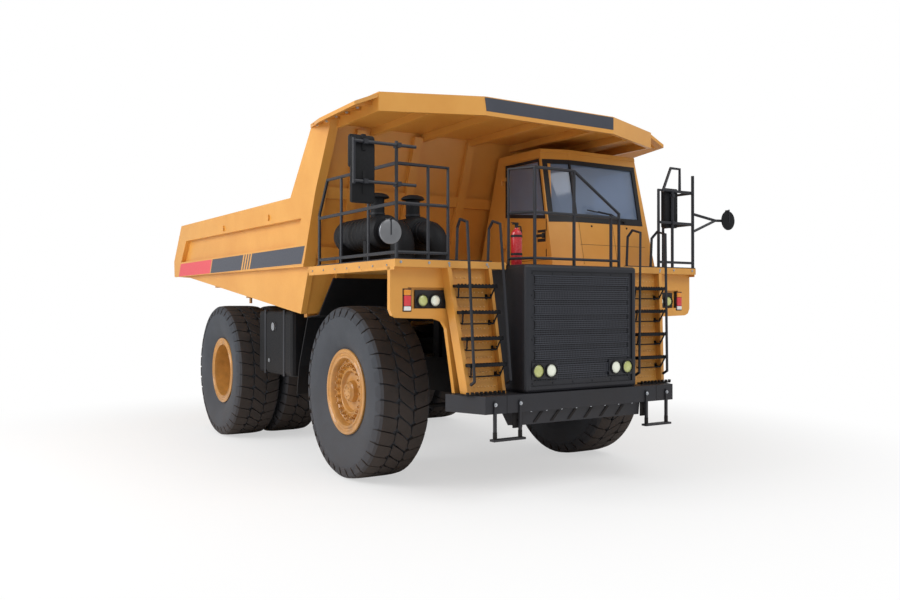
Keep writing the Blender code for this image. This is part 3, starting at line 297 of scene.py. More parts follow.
class ChequerPlate(Finish):
    """Painted steel with a rolled anti-slip pattern on its upward faces."""

    lozenge_mm = 40.0

    def relief(self, tree: bpy.types.NodeTree, place: bpy.types.NodeSocket,
               grain: bpy.types.NodeSocket) -> bpy.types.NodeSocket:
        """Return raised lozenges where the face looks up.

        Args:
            tree: Node tree to add to.
            place: Object coordinates.
            grain: Surface grain, which the lozenges hide.

        Returns:
            The height socket.
        """
        lozenges = add_node(tree, "ShaderNodeTexVoronoi", {"Vector": place, "Scale": 1000 / self.lozenge_mm,
                                                         "Randomness": 0.0})
        raised = add_node(tree, "ShaderNodeMath", {0: lozenges.outputs[0], 1: 0.30}, operation="LESS_THAN")
        facing = add_node(tree, "ShaderNodeSeparateXYZ", {0: add_node(tree, "ShaderNodeNewGeometry").outputs[1]})
        up = add_node(tree, "ShaderNodeMath", {0: facing.outputs[2], 1: 0.8}, operation="GREATER_THAN")
        return add_node(tree, "ShaderNodeMath", {0: raised.outputs[0], 1: up.outputs[0]},
                        operation="MULTIPLY").outputs[0]


class TreadRubber(Finish):
    """Rubber painted brown on the tread as a painted reflection of the lighting, and blue-grey where it turns to the
    sidewall.
    """

    def colour_of(self, tree: bpy.types.NodeTree, place: bpy.types.NodeSocket,
                  spread: bpy.types.NodeSocket) -> bpy.types.NodeSocket:
        """Turn the tread's colour to the sidewall's on faces that look sideways.

        Args:
            tree: Node tree to add to.
            place: Object coordinates.
            spread: How far a patch is towards the shade, 0 to 1.

        Returns:
            The colour socket.
        """
        base = super().colour_of(tree, place, spread)
        facing = add_node(tree, "ShaderNodeSeparateXYZ", {0: add_node(tree, "ShaderNodeTexCoord").outputs["Normal"]})
        across = add_node(tree, "ShaderNodeMath", {0: facing.outputs[0]}, operation="ABSOLUTE")
        side = add_node(tree, "ShaderNodeMapRange", {"Value": across.outputs[0], "From Min": 0.45, "From Max": 0.75})
        return add_node(tree, "ShaderNodeMix", {0: side.outputs[0], 6: base, 7: linear("#393C42")},
                        data_type="RGBA").outputs[2]


class Glass(Finish):
    """Laminated safety glass with a blue-grey tint."""

    def build(self, tree: bpy.types.NodeTree) -> None:
        """Lay out a clear, tinted and slightly rippled pane.

        Args:
            tree: Node tree with Blender's default shader in it.
        """
        super().build(tree)
        shader = tree.nodes["Principled BSDF"]
        shader.inputs["Transmission Weight"].default_value = 0.60
        shader.inputs["IOR"].default_value = 1.45


# Enamel: sprayed, smooth and half glossy. Its orange peel of 3 mm is drawn at 25 mm, or it would not show.
ENAMEL = Finish("yellow_enamel_sprayed", "#DC9F4A", "#D4943F", 0.42, 0.06, coat=0.12, patch_mm=900, grain_mm=25,
                grain_depth_mm=0.25, dust=0.35)
# The same enamel on the dump body, with its two bands masked and sprayed.
BED_ENAMEL = StripedEnamel("yellow_enamel_with_bands", "#DC9F4A", "#D4943F", 0.42, 0.06, coat=0.12, patch_mm=900,
                           grain_mm=25, grain_depth_mm=0.25)
# The enamel on the wheels: darker and browner than the body's, and glossier where it is wiped.
RIM_ENAMEL = Finish("yellow_enamel_on_wheels", "#C68C42", "#AC7836", 0.34, 0.08, coat=0.3, patch_mm=160, grain_mm=18,
                    grain_depth_mm=0.3, dust=0.35)
# Lighter enamel on the crowns of the pressed studs: a painted highlight where they catch the light.
STUD_HIGHLIGHT_ENAMEL = Finish("yellow_enamel_painted_stud_highlights", "#F0C888", "#E2B672", 0.45, 0.06, patch_mm=80, grain_mm=6,
                     grain_depth_mm=0.1)
# Rolled tread plate under enamel: lozenges 40 mm apart catch the light.
DECK_PLATE = ChequerPlate("yellow_enamel_tread_plate", "#D89C4A", "#C98F42", 0.50, 0.08, grain_depth_mm=2.0)
# Powder coat: baked, dark blue-grey, fine-textured and dull.
POWDER_GREY = Finish("dark_grey_powder_coat", "#25272E", "#202228", 0.46, 0.07, patch_mm=500, grain_mm=12,
                     grain_depth_mm=0.15, dust=0.20, specular=0.4, slot=Slot.DARK_PAINT)
# The same coat on the pressed grille, painted a lighter grey all over: a painted sheen for the sharp edges of its
# holes, which shine a little lighter.
GRILLE_GREY = Finish("grey_powder_coat_on_pressed_sheet", "#3B3E47", "#353841", 0.38, 0.06, patch_mm=500,
                     grain_mm=12, grain_depth_mm=0.1, slot=Slot.DARK_PAINT)
# Band paint: dark grey over the yellow enamel, satin.
BAND_PAINT = Finish("dark_grey_band_paint", "#3E424D", "#393D48", 0.42, 0.04, patch_mm=500, grain_mm=25,
                    grain_depth_mm=0.1, slot=Slot.DARK_PAINT)
# Chassis paint: brushed over castings, nearly black, dusty low down; its black is made darker still as painted shade,
# for the tanks that stand in shadow.
CHASSIS_BLACK = Finish("black_chassis_paint", "#141519", "#0F1013", 0.62, 0.08, patch_mm=400, grain_mm=18,
                       grain_depth_mm=0.5, dust=0.25, specular=0.25, slot=Slot.BLACK_PAINT)
# Natural rubber with carbon black, moulded: matt, blue-grey on the sidewall.
SIDEWALL = Finish("moulded_rubber_sidewall", "#3B3F46", "#34383F", 0.66, 0.06, patch_mm=350, grain_mm=10,
                  grain_depth_mm=0.4, dust=0.20, slot=Slot.RUBBER)
# The same rubber where it meets the ground, with road dust low down; its brown tone is a painted reflection of the
# lighting, and the shoulders' sides keep the sidewall's blue-grey.
TREAD = TreadRubber("rubber_tread_painted_brown_reflection", "#38312E", "#2B2726", 0.78, 0.07, patch_mm=250, grain_mm=9,
                    grain_depth_mm=0.9, dust=0.30, specular=0.35, slot=Slot.RUBBER)
# Zinc-plated bolts: bright and slightly cloudy.
ZINC = Finish("zinc_plated_steel", "#C9CCD0", "#AEB2B8", 0.32, 0.08, metallic=1.0, patch_mm=40, grain_mm=4,
              grain_depth_mm=0.05, slot=Slot.STEEL)
# Hard chrome on the hoist's rods, ground and polished.
CHROME = Finish("hard_chrome_ground", "#D6D9DC", "#C4C8CC", 0.12, 0.03, metallic=1.0, patch_mm=120, grain_mm=6,
                grain_depth_mm=0.02, slot=Slot.STEEL)
# Honed tube of the hoist's middle stage: satin, with fine marks round it.
STAGE_TUBE = Finish("satin_grey_stage_tube", "#8C9096", "#7C8087", 0.30, metallic=1.0, patch_mm=150, grain_mm=6,
                    grain_depth_mm=0.05, slot=Slot.STEEL)
# Cast iron of the engine block, painted grey and oily.
IRON = Finish("cast_iron_painted_grey", "#55585C", "#43464A", 0.50, 0.10, patch_mm=250, grain_mm=8,
              grain_depth_mm=0.6, slot=Slot.STEEL)
# Laminated glass: cool blue-grey, nearly flat.
CAB_GLASS = Glass("laminated_glass_tinted", "#A6BAD8", "#9DB1CF", 0.04, 0.01, patch_mm=1500, grain_mm=400,
                  grain_depth_mm=0.3, slot=Slot.GLASS)
# Silvered mirror glass in daylight, grey because it shows the sky.
MIRROR = Finish("silvered_convex_glass", "#7C7E82", "#727478", 0.32, 0.03, metallic=0.35, patch_mm=200, grain_mm=90,
                grain_depth_mm=0.05, slot=Slot.MIRROR)
# Rubber seals and printed glass borders: flat black.
SEAL = Finish("epdm_rubber_seal", "#15161A", "#101115", 0.60, 0.08, patch_mm=150, grain_mm=6, grain_depth_mm=0.2,
              slot=Slot.TRIM)
# Moulded plastic of the dashboard, with a leather-like grain.
PLASTIC = Finish("moulded_abs_grained", "#2B2D31", "#232529", 0.62, 0.08, patch_mm=120, grain_mm=5,
                 grain_depth_mm=0.5, slot=Slot.TRIM)
# Woven seat cloth: charcoal, with a coarse weave.
SEAT_CLOTH = Finish("woven_seat_cloth", "#34363C", "#292B30", 0.88, 0.06, patch_mm=60, grain_mm=6, grain_depth_mm=1.0,
                    slot=Slot.TRIM)
# Gloss red enamel of the extinguisher's bottle.
RED = Finish("gloss_red_enamel", "#D42F38", "#C32831", 0.28, 0.05, coat=0.5, patch_mm=200, grain_mm=20,
             grain_depth_mm=0.1, slot=Slot.RED_PAINT)
# Lamp lenses: clear polycarbonate over a bright reflector, and one with a warmer filter.
LENS_WHITE = Finish("polycarbonate_lens_clear", "#FBFFF0", "#F2F8E6", 0.18, 0.04, coat=0.6, patch_mm=60, grain_mm=12,
                    grain_depth_mm=0.8, slot=Slot.GLASS)
LENS_WARM = Finish("polycarbonate_lens_warm", "#CDD28C", "#B6BC72", 0.20, 0.04, coat=0.6, patch_mm=50, grain_mm=10,
                   grain_depth_mm=0.8, slot=Slot.GLASS)
LENS_RED = Finish("acrylic_lens_red", "#E03A44", "#D02F3A", 0.22, 0.04, coat=0.5, patch_mm=60, grain_mm=8,
                  grain_depth_mm=0.6, slot=Slot.RED_PAINT)
LENS_AMBER = Finish("acrylic_lens_amber", "#F09A28", "#E08A1C", 0.22, 0.04, coat=0.5, patch_mm=60, grain_mm=8,
                    grain_depth_mm=0.6, slot=Slot.YELLOW_PAINT)
LENS_PLAIN = Finish("acrylic_lens_white", "#F0F0F0", "#E4E6E8", 0.25, 0.04, coat=0.5, patch_mm=60, grain_mm=8,
                    grain_depth_mm=0.6, slot=Slot.GLASS)

CAD_FINISHES: dict[Finish, tuple[str, ...]] = {
    ENAMEL: ("fender_and_ladder_left", "fender_and_ladder_right", "cab_shell", "cab_door", "bed_frame",
             "hoist_barrel_left", "hoist_barrel_right"),
    BED_ENAMEL: ("dump_bed", "bed_canopy"),
    DECK_PLATE: ("deck",),
    POWDER_GREY: ("front_bumper", "radiator_housing", "handrail_left", "handrail_right", "handrail_front"),
    CHASSIS_BLACK: ("main_frame", "front_mudguards", "hydraulic_tank", "fuel_tank", "rear_axle", "tie_rod",
                    "steering_knuckle_left", "steering_knuckle_right"),
    IRON: ("engine_and_gearbox",),
    CAB_GLASS: ("windshield", "rear_window", "left_window", "cab_door_glass"),
    CHROME: ("hoist_rod_left", "hoist_rod_right"),
    STAGE_TUBE: ("hoist_stage_left", "hoist_stage_right"),
    PLASTIC: ("dashboard",),
}


# ---------------------------------------------------------------- shaping
class Shape:
    """A bmesh that grows by a maker's few strokes, all in the truck's own frame."""

    def __init__(self) -> None:
        """Start with nothing."""
        self.bm = bmesh.new()

    def _since(self, before: set[bmesh.types.BMVert]) -> list[bmesh.types.BMVert]:
        """Return the vertices that weren't there before."""
        return [v for v in self.bm.verts if v not in before]

    def box(self, low: Sequence[float], high: Sequence[float], rounding: float = 0.0, segments: int = 2) -> "Shape":
        """Add a block between two corners.

        Args:
            low: Lowest corner.
            high: Highest corner.
            rounding: Radius of its edges, 0 for sharp ones.
            segments: Facets of each rounded edge.

        Returns:
            This shape.
        """
        verts = bmesh.ops.create_cube(self.bm, size=1.0)["verts"]
        start, end = Vector(low), Vector(high)
        bmesh.ops.scale(self.bm, vec=end - start, verts=verts)
        bmesh.ops.translate(self.bm, vec=(start + end) / 2, verts=verts)
        if rounding:
            edges = list({edge for v in verts for edge in v.link_edges})
            bmesh.ops.bevel(self.bm, geom=edges, offset=rounding, segments=segments, profile=0.5, affect="EDGES",
                            clamp_overlap=True, material=-1)
        return self

    def rod(self, start: Sequence[float], end: Sequence[float], radius: float, segments: int = 16,
            end_radius: float | None = None) -> "Shape":
        """Add a round or many-sided bar with flat ends.

        Args:
            start: Centre of its first end.
            end: Centre of its second end.
            radius: Radius at the first end.
            segments: Number of sides.
            end_radius: Radius at the second end, if it differs.

        Returns:
            This shape.
        """
        first, last = Vector(start), Vector(end)
        axis = last - first
        place = Matrix.Translation((first + last) / 2) @ axis.to_track_quat("Z", "Y").to_matrix().to_4x4()
        bmesh.ops.create_cone(self.bm, cap_ends=True, segments=segments, radius1=radius,
                              radius2=radius if end_radius is None else end_radius, depth=axis.length, matrix=place)
        return self

    def turned(self, profile: Sequence[tuple[float, float]], centre: Sequence[float], axis: Sequence[float],
               segments: int = 64, closed: bool = False) -> "Shape":
        """Spin a profile round an axis.

        Args:
            profile: (radius, distance along the axis) of each point.
            centre: Point on the axis that the distances start from.
            axis: Direction of the axis.
            segments: Facets round the axis.
            closed: Whether the profile's last point joins its first.

        Returns:
            This shape.
        """
        before = set(self.bm.verts)
        verts = [self.bm.verts.new((radius, 0.0, along)) for radius, along in profile]
        pairs = list(zip(verts, verts[1:] + (verts[:1] if closed else [])))
        edges = [self.bm.edges.new(ends) for ends in pairs]
        bmesh.ops.spin(self.bm, geom=verts + edges, cent=(0, 0, 0), axis=(0, 0, 1), angle=math.tau,
                       steps=segments, use_merge=True, use_duplicate=False)
        made = self._since(before)
        bmesh.ops.remove_doubles(self.bm, verts=made, dist=0.00005)
        made = self._since(before)
        faces = list({face for v in made for face in v.link_faces})
        bmesh.ops.recalc_face_normals(self.bm, faces=faces)
        turn = Vector(axis).to_track_quat("Z", "Y").to_matrix().to_4x4()
        bmesh.ops.transform(self.bm, matrix=Matrix.Translation(Vector(centre)) @ turn, verts=made)
        return self

    def sheet(self, outline: Sequence[Sequence[float]], offset: Sequence[float]) -> "Shape":
        """Add a flat plate from its outline and its thickness as a vector.

        Args:
            outline: Corners in order.
            offset: Direction and amount of the thickness.

        Returns:
            This shape.
        """
        face = self.bm.faces.new([self.bm.verts.new(Vector(p)) for p in outline])
        return self.thicken([face], Vector(offset))

    def ring(self, outer: Sequence[Sequence[float]], inner: Sequence[Sequence[float]],
             offset: Sequence[float]) -> "Shape":
        """Add a flat frame between two outlines with the same number of corners.

        Args:
            outer: Outer corners in order.
            inner: Inner corners in the same order.
            offset: Direction and amount of the thickness.

        Returns:
            This shape.
        """
        loops = [[self.bm.verts.new(Vector(p)) for p in loop] for loop in (outer, inner)]
        faces = []
        for index in range(len(outer)):
            following = (index + 1) % len(outer)
            faces.append(self.bm.faces.new((loops[0][index], loops[0][following], loops[1][following],
                                            loops[1][index])))
        return self.thicken(faces, Vector(offset))

    def thicken(self, faces: list[bmesh.types.BMFace], offset: Vector) -> "Shape":
        """Extrude faces by a vector and turn every face outwards.

        Args:
            faces: Faces of a flat shape.
            offset: Direction and amount of the thickness.

        Returns:
            This shape.
        """
        made = bmesh.ops.extrude_face_region(self.bm, geom=faces, use_keep_orig=True)["geom"]
        moved = [v for v in made if isinstance(v, bmesh.types.BMVert)]
        bmesh.ops.translate(self.bm, vec=offset, verts=moved)
        touched = {face for v in moved for face in v.link_faces} | set(faces)
        bmesh.ops.recalc_face_normals(self.bm, faces=list(touched))
        return self

    def sweep(self, route: Sequence[Sequence[float]], radius: float, resolution: int = 2) -> "Shape":
        """Add a bent tube along a route.

        Args:
            route: Points of its centreline.
            radius: Radius of the tube.
            resolution: Fineness of its section.

        Returns:
            This shape.
        """
        curve = bpy.data.curves.new("route", "CURVE")
        curve.dimensions = "3D"
        curve.bevel_depth, curve.bevel_resolution, curve.use_fill_caps = radius, resolution, True
        spline = curve.splines.new("POLY")
        spline.points.add(len(route) - 1)
        for point, place in zip(spline.points, route):
            point.co = (*place, 1.0)
        holder = bpy.data.objects.new("route", curve)
        mesh = bpy.data.meshes.new_from_object(holder)
        self.bm.from_mesh(mesh)
        bpy.data.objects.remove(holder)
        bpy.data.curves.remove(curve)
        bpy.data.meshes.remove(mesh)
        return self

    def bolt(self, place: Sequence[float], axis: Sequence[float], size: float = 0.012) -> "Shape":
        """Add a hexagonal bolt head on a washer.

        Args:
            place: Centre of the washer's seat.
            axis: Direction out of the surface.
            size: Radius across the head's corners.

        Returns:
            This shape.
        """
        seat, out = Vector(place), Vector(axis).normalized()
        self.rod(seat - out * 0.001, seat + out * size * 0.25, size * 1.45, 12)
        return self.rod(seat + out * size * 0.2, seat + out * size * 0.95, size, 6)

    def stamp(self, pattern: "Shape", places: Iterable[Matrix]) -> "Shape":
        """Add copies of another shape.

        Args:
            pattern: Shape to copy.
            places: Where each copy goes, turned inside in where it is mirrored.

        Returns:
            This shape.
        """
        mesh = bpy.data.meshes.new("pattern")
        pattern.bm.to_mesh(mesh)
        for place in places:
            copy = mesh.copy()
            copy.transform(place)
            if place.determinant() < 0:
                copy.flip_normals()
            self.bm.from_mesh(copy)
            bpy.data.meshes.remove(copy)
        bpy.data.meshes.remove(mesh)
        return self

    def piece(self, name: str, finish: Finish, body: str, crease: float = 32.0) -> bpy.types.Object:
        """Make the shape an object that rides on a body.

        Args:
            name: Name of the piece.
            finish: Its finish.
            body: Body of the CAD that it moves with.
            crease: Angle in degrees above which an edge stays sharp.

        Returns:
            The new object.
        """
        mesh = bpy.data.meshes.new(name)
        self.bm.to_mesh(mesh)
        self.bm.free()
        mesh.materials.append(finish.material())
        mesh.shade_smooth()
        mesh.set_sharp_from_angle(angle=math.radians(crease))
        made = bpy.data.objects.new(name, mesh)
        bpy.context.scene.collection.objects.link(made)
        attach(made, body)
        LOG.info("%s: %d faces", name, len(mesh.polygons))
        return made


def box_of(node: str) -> tuple[Vector, Vector]:
    """Return the lowest and highest corner of a CAD node."""
    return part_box(node)


def centre_of(node: str) -> Vector:
    """Return the middle of a CAD node's box."""
    low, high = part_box(node)
    return (low + high) / 2


def mixed(low: float, high: float, share: float) -> float:
    """Return the value a share of the way between two others."""
    return low + (high - low) * share


# ---------------------------------------------------------------- wheels
@dataclass
class Tyre:
    """A 24.00R35 rock tyre with deep shoulder lugs and a six-sided centre pattern.

    Attributes:
        radius: Outer radius over the tread.
        groove: Depth of the pattern.
        pitches: Lugs round each shoulder.
        gap: Width of the grooves as an angle share of a pitch.
    """
    radius: float = 1.074
    groove: float = 0.036
    pitches: int = 36
    gap: float = 0.085

    def carcass(self) -> list[tuple[float, float]]:
        """Return the (radius, x) section from bead to bead, under the lugs."""
        base = self.radius - self.groove
        half = [(0.452, 0.249), (0.500, 0.262), (0.548, 0.258), (0.565, 0.272), (0.600, 0.286), (0.680, 0.322),
                (0.760, 0.339), (0.850, 0.347), (0.900, 0.346), (0.960, 0.338), (1.005, 0.318), (base - 0.006, 0.270),
                (base, 0.150)]
        return half + [(radius, -x) for radius, x in reversed(half)]

    def lug(self, shape: Shape, angle: float, side: int) -> None:
        """Add one shoulder lug, from the sidewall over the shoulder to the centre row.

        Args:
            shape: Shape to add to, with its axis along X at the origin.
            angle: Place round the tyre.
            side: -1 or 1.
        """
        pitch = math.tau / self.pitches
        half = pitch * (1 - self.gap) / 2
        # Rows of the lug: radius, x, turn forward and width, the last two as shares of the pitch.
        rows = ((0.945, 0.3495, 0.00, 0.62), (0.992, 0.3440, 0.00, 0.84), (1.036, 0.3270, 0.00, 0.96),
                (1.062, 0.2980, 0.02, 1.00), (1.071, 0.2300, 0.10, 1.00), (self.radius, 0.1500, 0.22, 1.00),
                (self.radius, 0.1120, 0.16, 0.62))
        grid = []
        for radius, x, turn, width in rows:
            middle = angle + turn * pitch
            row = []
            for share in (-1, -0.33, 0.33, 1):
                at = middle + share * half * width
                row.append(shape.bm.verts.new((side * x, math.cos(at) * radius, math.sin(at) * radius)))
            grid.append(row)
        faces = [shape.bm.faces.new((a[i], a[i + 1], b[i + 1], b[i])) for a, b in zip(grid, grid[1:])
                 for i in range(3)]
        self.deepen(shape, faces)

    def block(self, shape: Shape, angle: float) -> None:
        """Add one six-sided block of the centre row.

        Args:
            shape: Shape to add to, with its axis along X at the origin.
            angle: Place round the tyre.
        """
        pitch = math.tau / self.pitches
        half = pitch * (1 - self.gap) / 2
        rows = ((-0.1000, 0.42, 0.10), (-0.0880, 0.36, 0.88), (0.0, 0.0, 1.0), (0.0880, -0.36, 0.88),
                (0.1000, -0.42, 0.10))
        grid = []
        for x, turn, width in rows:
            row = []
            for share in (-1, -0.33, 0.33, 1):
                at = angle + turn * pitch + share * half * width
                row.append(shape.bm.verts.new((x, math.cos(at) * self.radius, math.sin(at) * self.radius)))
            grid.append(row)
        faces = [shape.bm.faces.new((a[i], a[i + 1], b[i + 1], b[i])) for a, b in zip(grid, grid[1:])
                 for i in range(3)]
        self.deepen(shape, faces)

    def deepen(self, shape: Shape, faces: list[bmesh.types.BMFace]) -> None:
        """Give a patch of tread its depth towards the axle.

        Args:
            shape: Shape that holds the patch.
            faces: Faces of the patch.
        """
        made = bmesh.ops.extrude_face_region(shape.bm, geom=faces, use_keep_orig=True)["geom"]
        for v in made:
            if isinstance(v, bmesh.types.BMVert):
                inward = Vector((0, v.co.y, v.co.z)).normalized()
                sideways = 0.06 if abs(v.co.x) > 0.31 else 0.0
                v.co -= inward * self.groove * (1.15 - sideways * 6)
                v.co.x *= 1 - sideways
        touched = {face for v in made if isinstance(v, bmesh.types.BMVert) for face in v.link_faces}
        bmesh.ops.recalc_face_normals(shape.bm, faces=list(touched | set(faces)))

    def tread(self) -> Shape:
        """Return all the lugs and blocks of one tyre round the X axis."""
        outer, inner, centre = Shape(), Shape(), Shape()
        self.lug(outer, 0.0, 1)
        self.lug(inner, math.pi / self.pitches, -1)
        self.block(centre, math.pi / self.pitches * 0.9)
        turns = [Matrix.Rotation(math.tau * (index + 0.5) / self.pitches, 4, "X") for index in range(self.pitches)]
        return Shape().stamp(outer, turns).stamp(inner, turns).stamp(centre, turns)

    def make(self) -> None:
        """Put tread and carcass on all six wheels in place of the plain tyres."""
        carcass = Shape().turned(self.carcass(), (0, 0, 0), (1, 0, 0), 96, closed=True)
        tread = self.tread()
        for wheel, body in (("front_tyre", "front_wheel"), ("rear_outer_tyre", "rear_wheel"),
                            ("rear_inner_tyre", "rear_wheel")):
            for side in SIDES:
                node, rider = f"{wheel}_{SIDE_NAMES[side]}", f"{body}_{SIDE_NAMES[side]}"
                centre = centre_of(node)
                place = Matrix.Translation((centre.x, centre.y, self.radius)) @ Matrix.Scale(side, 4, (1, 0, 0))
                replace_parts(Shape().stamp(carcass, [place]).piece(f"{node}_carcass", SIDEWALL, rider), node)
                Shape().stamp(tread, [place]).piece(f"{node}_tread", TREAD, rider, 24.0)


@dataclass
class Rims:
    """Multi-piece steel rims: a dished front one with a hub, and a deep rear pair.

    Attributes:
        nuts: Wheel nuts on a rim.
        nut_circle: Radius of their circle.
    """
    nuts: int = 24
    nut_circle: float = 0.330

    def front(self, side: int) -> None:
        """Make one front rim with its hub, nuts and cap.

        Args:
            side: -1 or 1.
        """
        name = SIDE_NAMES[side]
        node = f"front_rim_{name}"
        low, high = box_of(node)
        centre = Vector(((low.x + high.x) / 2, (low.y + high.y) / 2, (low.z + high.z) / 2))
        out = (side, 0, 0)
        profile = [(0.0, 0.258), (0.085, 0.258), (0.098, 0.252), (0.110, 0.232), (0.125, 0.220), (0.140, 0.160),
                   (0.165, 0.150), (0.222, 0.150), (0.236, 0.158), (0.258, 0.205), (0.272, 0.212), (0.285, 0.206),
                   (0.300, 0.200), (0.384, 0.200), (0.398, 0.212), (0.412, 0.262), (0.424, 0.280), (0.448, 0.286),
                   (0.462, 0.274), (0.480, 0.274), (0.496, 0.287), (0.526, 0.287), (0.535, 0.279), (0.535, 0.252),
                   (0.445, 0.250), (0.445, -0.250), (0.535, -0.250), (0.535, -0.287), (0.405, -0.287),
                   (0.405, 0.110), (0.205, 0.090), (0.200, -0.020), (0.0, -0.020)]
        rim = Shape().turned(profile, centre, out, 72)
        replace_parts(rim.piece(f"{node}_disc", RIM_ENAMEL, f"front_wheel_{name}"), node)
        self.nut_ring(centre, side, 0.200, self.nut_circle, f"front_nuts_{name}", f"front_wheel_{name}")
        cap = Shape()
        for index in range(8):
            turn = math.tau * index / 8
            cap.bolt(centre + Vector((side * 0.256, math.cos(turn) * 0.064, math.sin(turn) * 0.064)), out, 0.009)
        cap.piece(f"hub_bolts_{name}", RIM_ENAMEL, f"front_wheel_{name}")

    def nut_ring(self, centre: Vector, side: int, depth: float, circle: float, name: str, body: str) -> None:
        """Add a ring of nuts with their studs and clamps.

        Args:
            centre: Middle of the wheel.
            side: -1 or 1.
            depth: Distance outward of the seat from the centre.
            circle: Radius of the ring.
            name: Name of the piece.
            body: Body that it rides on.
        """
        ring = Shape()
        for index in range(self.nuts):
            turn = math.tau * index / self.nuts
            spoke = Vector((0, math.cos(turn), math.sin(turn)))
            seat = centre + Vector((side * (depth - 0.002), 0, 0)) + spoke * circle
            ring.rod(seat, seat + Vector((side * 0.012, 0, 0)), 0.030, 12)
            ring.rod(seat, seat + Vector((side * 0.042, 0, 0)), 0.021, 6)
            ring.rod(seat, seat + Vector((side * 0.062, 0, 0)), 0.011, 10)
            if index % 2:
                outer = seat + spoke * 0.052
                ring.rod(outer, outer + Vector((side * 0.018, 0, 0)), 0.010, 8)
        ring.piece(name, RIM_ENAMEL, body)

    def rear(self, side: int) -> None:
        """Make one rear twin rim with its deep dish and final drive.

        Args:
            side: -1 or 1.
        """
        name = SIDE_NAMES[side]
        node = f"rear_rim_{name}"
        low, high = box_of(node)
        outer, inner = (high.x, low.x) if side > 0 else (-low.x, -high.x)
        centre = Vector((0, (low.y + high.y) / 2, (low.z + high.z) / 2))
        flange = outer - 0.287
        inside = inner + 0.287
        profile = [(0.0, flange + 0.019), (0.120, flange + 0.019), (0.150, flange + 0.012), (0.188, flange - 0.020),
                   (0.196, flange - 0.060), (0.212, flange - 0.250), (0.240, flange - 0.272), (0.300, flange - 0.292),
                   (0.395, flange - 0.321), (0.404, flange - 0.300), (0.412, flange + 0.200), (0.424, flange + 0.270),
                   (0.448, flange + 0.286), (0.462, flange + 0.274), (0.480, flange + 0.274), (0.496, flange + 0.287),
                   (0.535, flange + 0.279), (0.535, flange + 0.252), (0.445, flange + 0.250), (0.445, flange - 0.250),
                   (0.535, flange - 0.250), (0.535, flange - 0.287), (0.430, flange - 0.287), (0.430, inside + 0.287),
                   (0.535, inside + 0.287), (0.535, inside + 0.250), (0.445, inside + 0.250), (0.445, inside - 0.250),
                   (0.535, inside - 0.250), (0.535, inside - 0.287), (0.405, inside - 0.287), (0.405, 1.500),
                   (0.0, 1.500)]
        rim = Shape().turned(profile, centre, (side, 0, 0), 72)
        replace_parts(rim.piece(f"{node}_disc", RIM_ENAMEL, f"rear_wheel_{name}"), node)
        hub = Vector((side * (flange - 0.300), centre.y, centre.z))
        self.nut_ring(hub, side, 0.0, 0.335, f"rear_nuts_{name}", f"rear_wheel_{name}")
        cap = Shape()
        for index in range(12):
            turn = math.tau * index / 12
            cap.bolt((side * (flange + 0.015), centre.y + math.cos(turn) * 0.100, centre.z + math.sin(turn) * 0.100),
                     (side, 0, 0), 0.010)
        cap.piece(f"final_drive_bolts_{name}", RIM_ENAMEL, f"rear_wheel_{name}")

    def make(self) -> None:
        """Make all four rims."""
        for side in SIDES:
            self.front(side)
            self.rear(side)


# ---------------------------------------------------------------- front
@dataclass
class Lamp:
    """A round sealed lamp with a bezel.

    Attributes:
        centre: Middle of its lens.
        radius: Radius of the lens.
        lens: Finish of the lens.
        name: Name of the lamp.
    """
    centre: Point
    radius: float
    lens: Finish
    name: str

    def make(self) -> None:
        """Make the bezel ring and the domed lens, facing forward."""
        out = (0, -1, 0)
        size = self.radius
        ring = [(size * 0.96, 0.0), (size * 0.98, 0.020), (size * 1.06, 0.026), (size * 1.16, 0.018),
                (size * 1.18, -0.020), (size * 0.96, -0.020)]
        Shape().turned(ring, self.centre, out, 32, closed=True).piece(f"{self.name}_bezel", SEAL, CHASSIS)
        dome = [(size * 0.97, -0.010), (size * 0.97, 0.004), (size * 0.86, 0.012), (size * 0.58, 0.019),
                (size * 0.28, 0.022), (0.0, 0.023), (0.0, -0.010)]
        Shape().turned(dome, self.centre, out, 32).piece(f"{self.name}_lens", self.lens, CHASSIS)


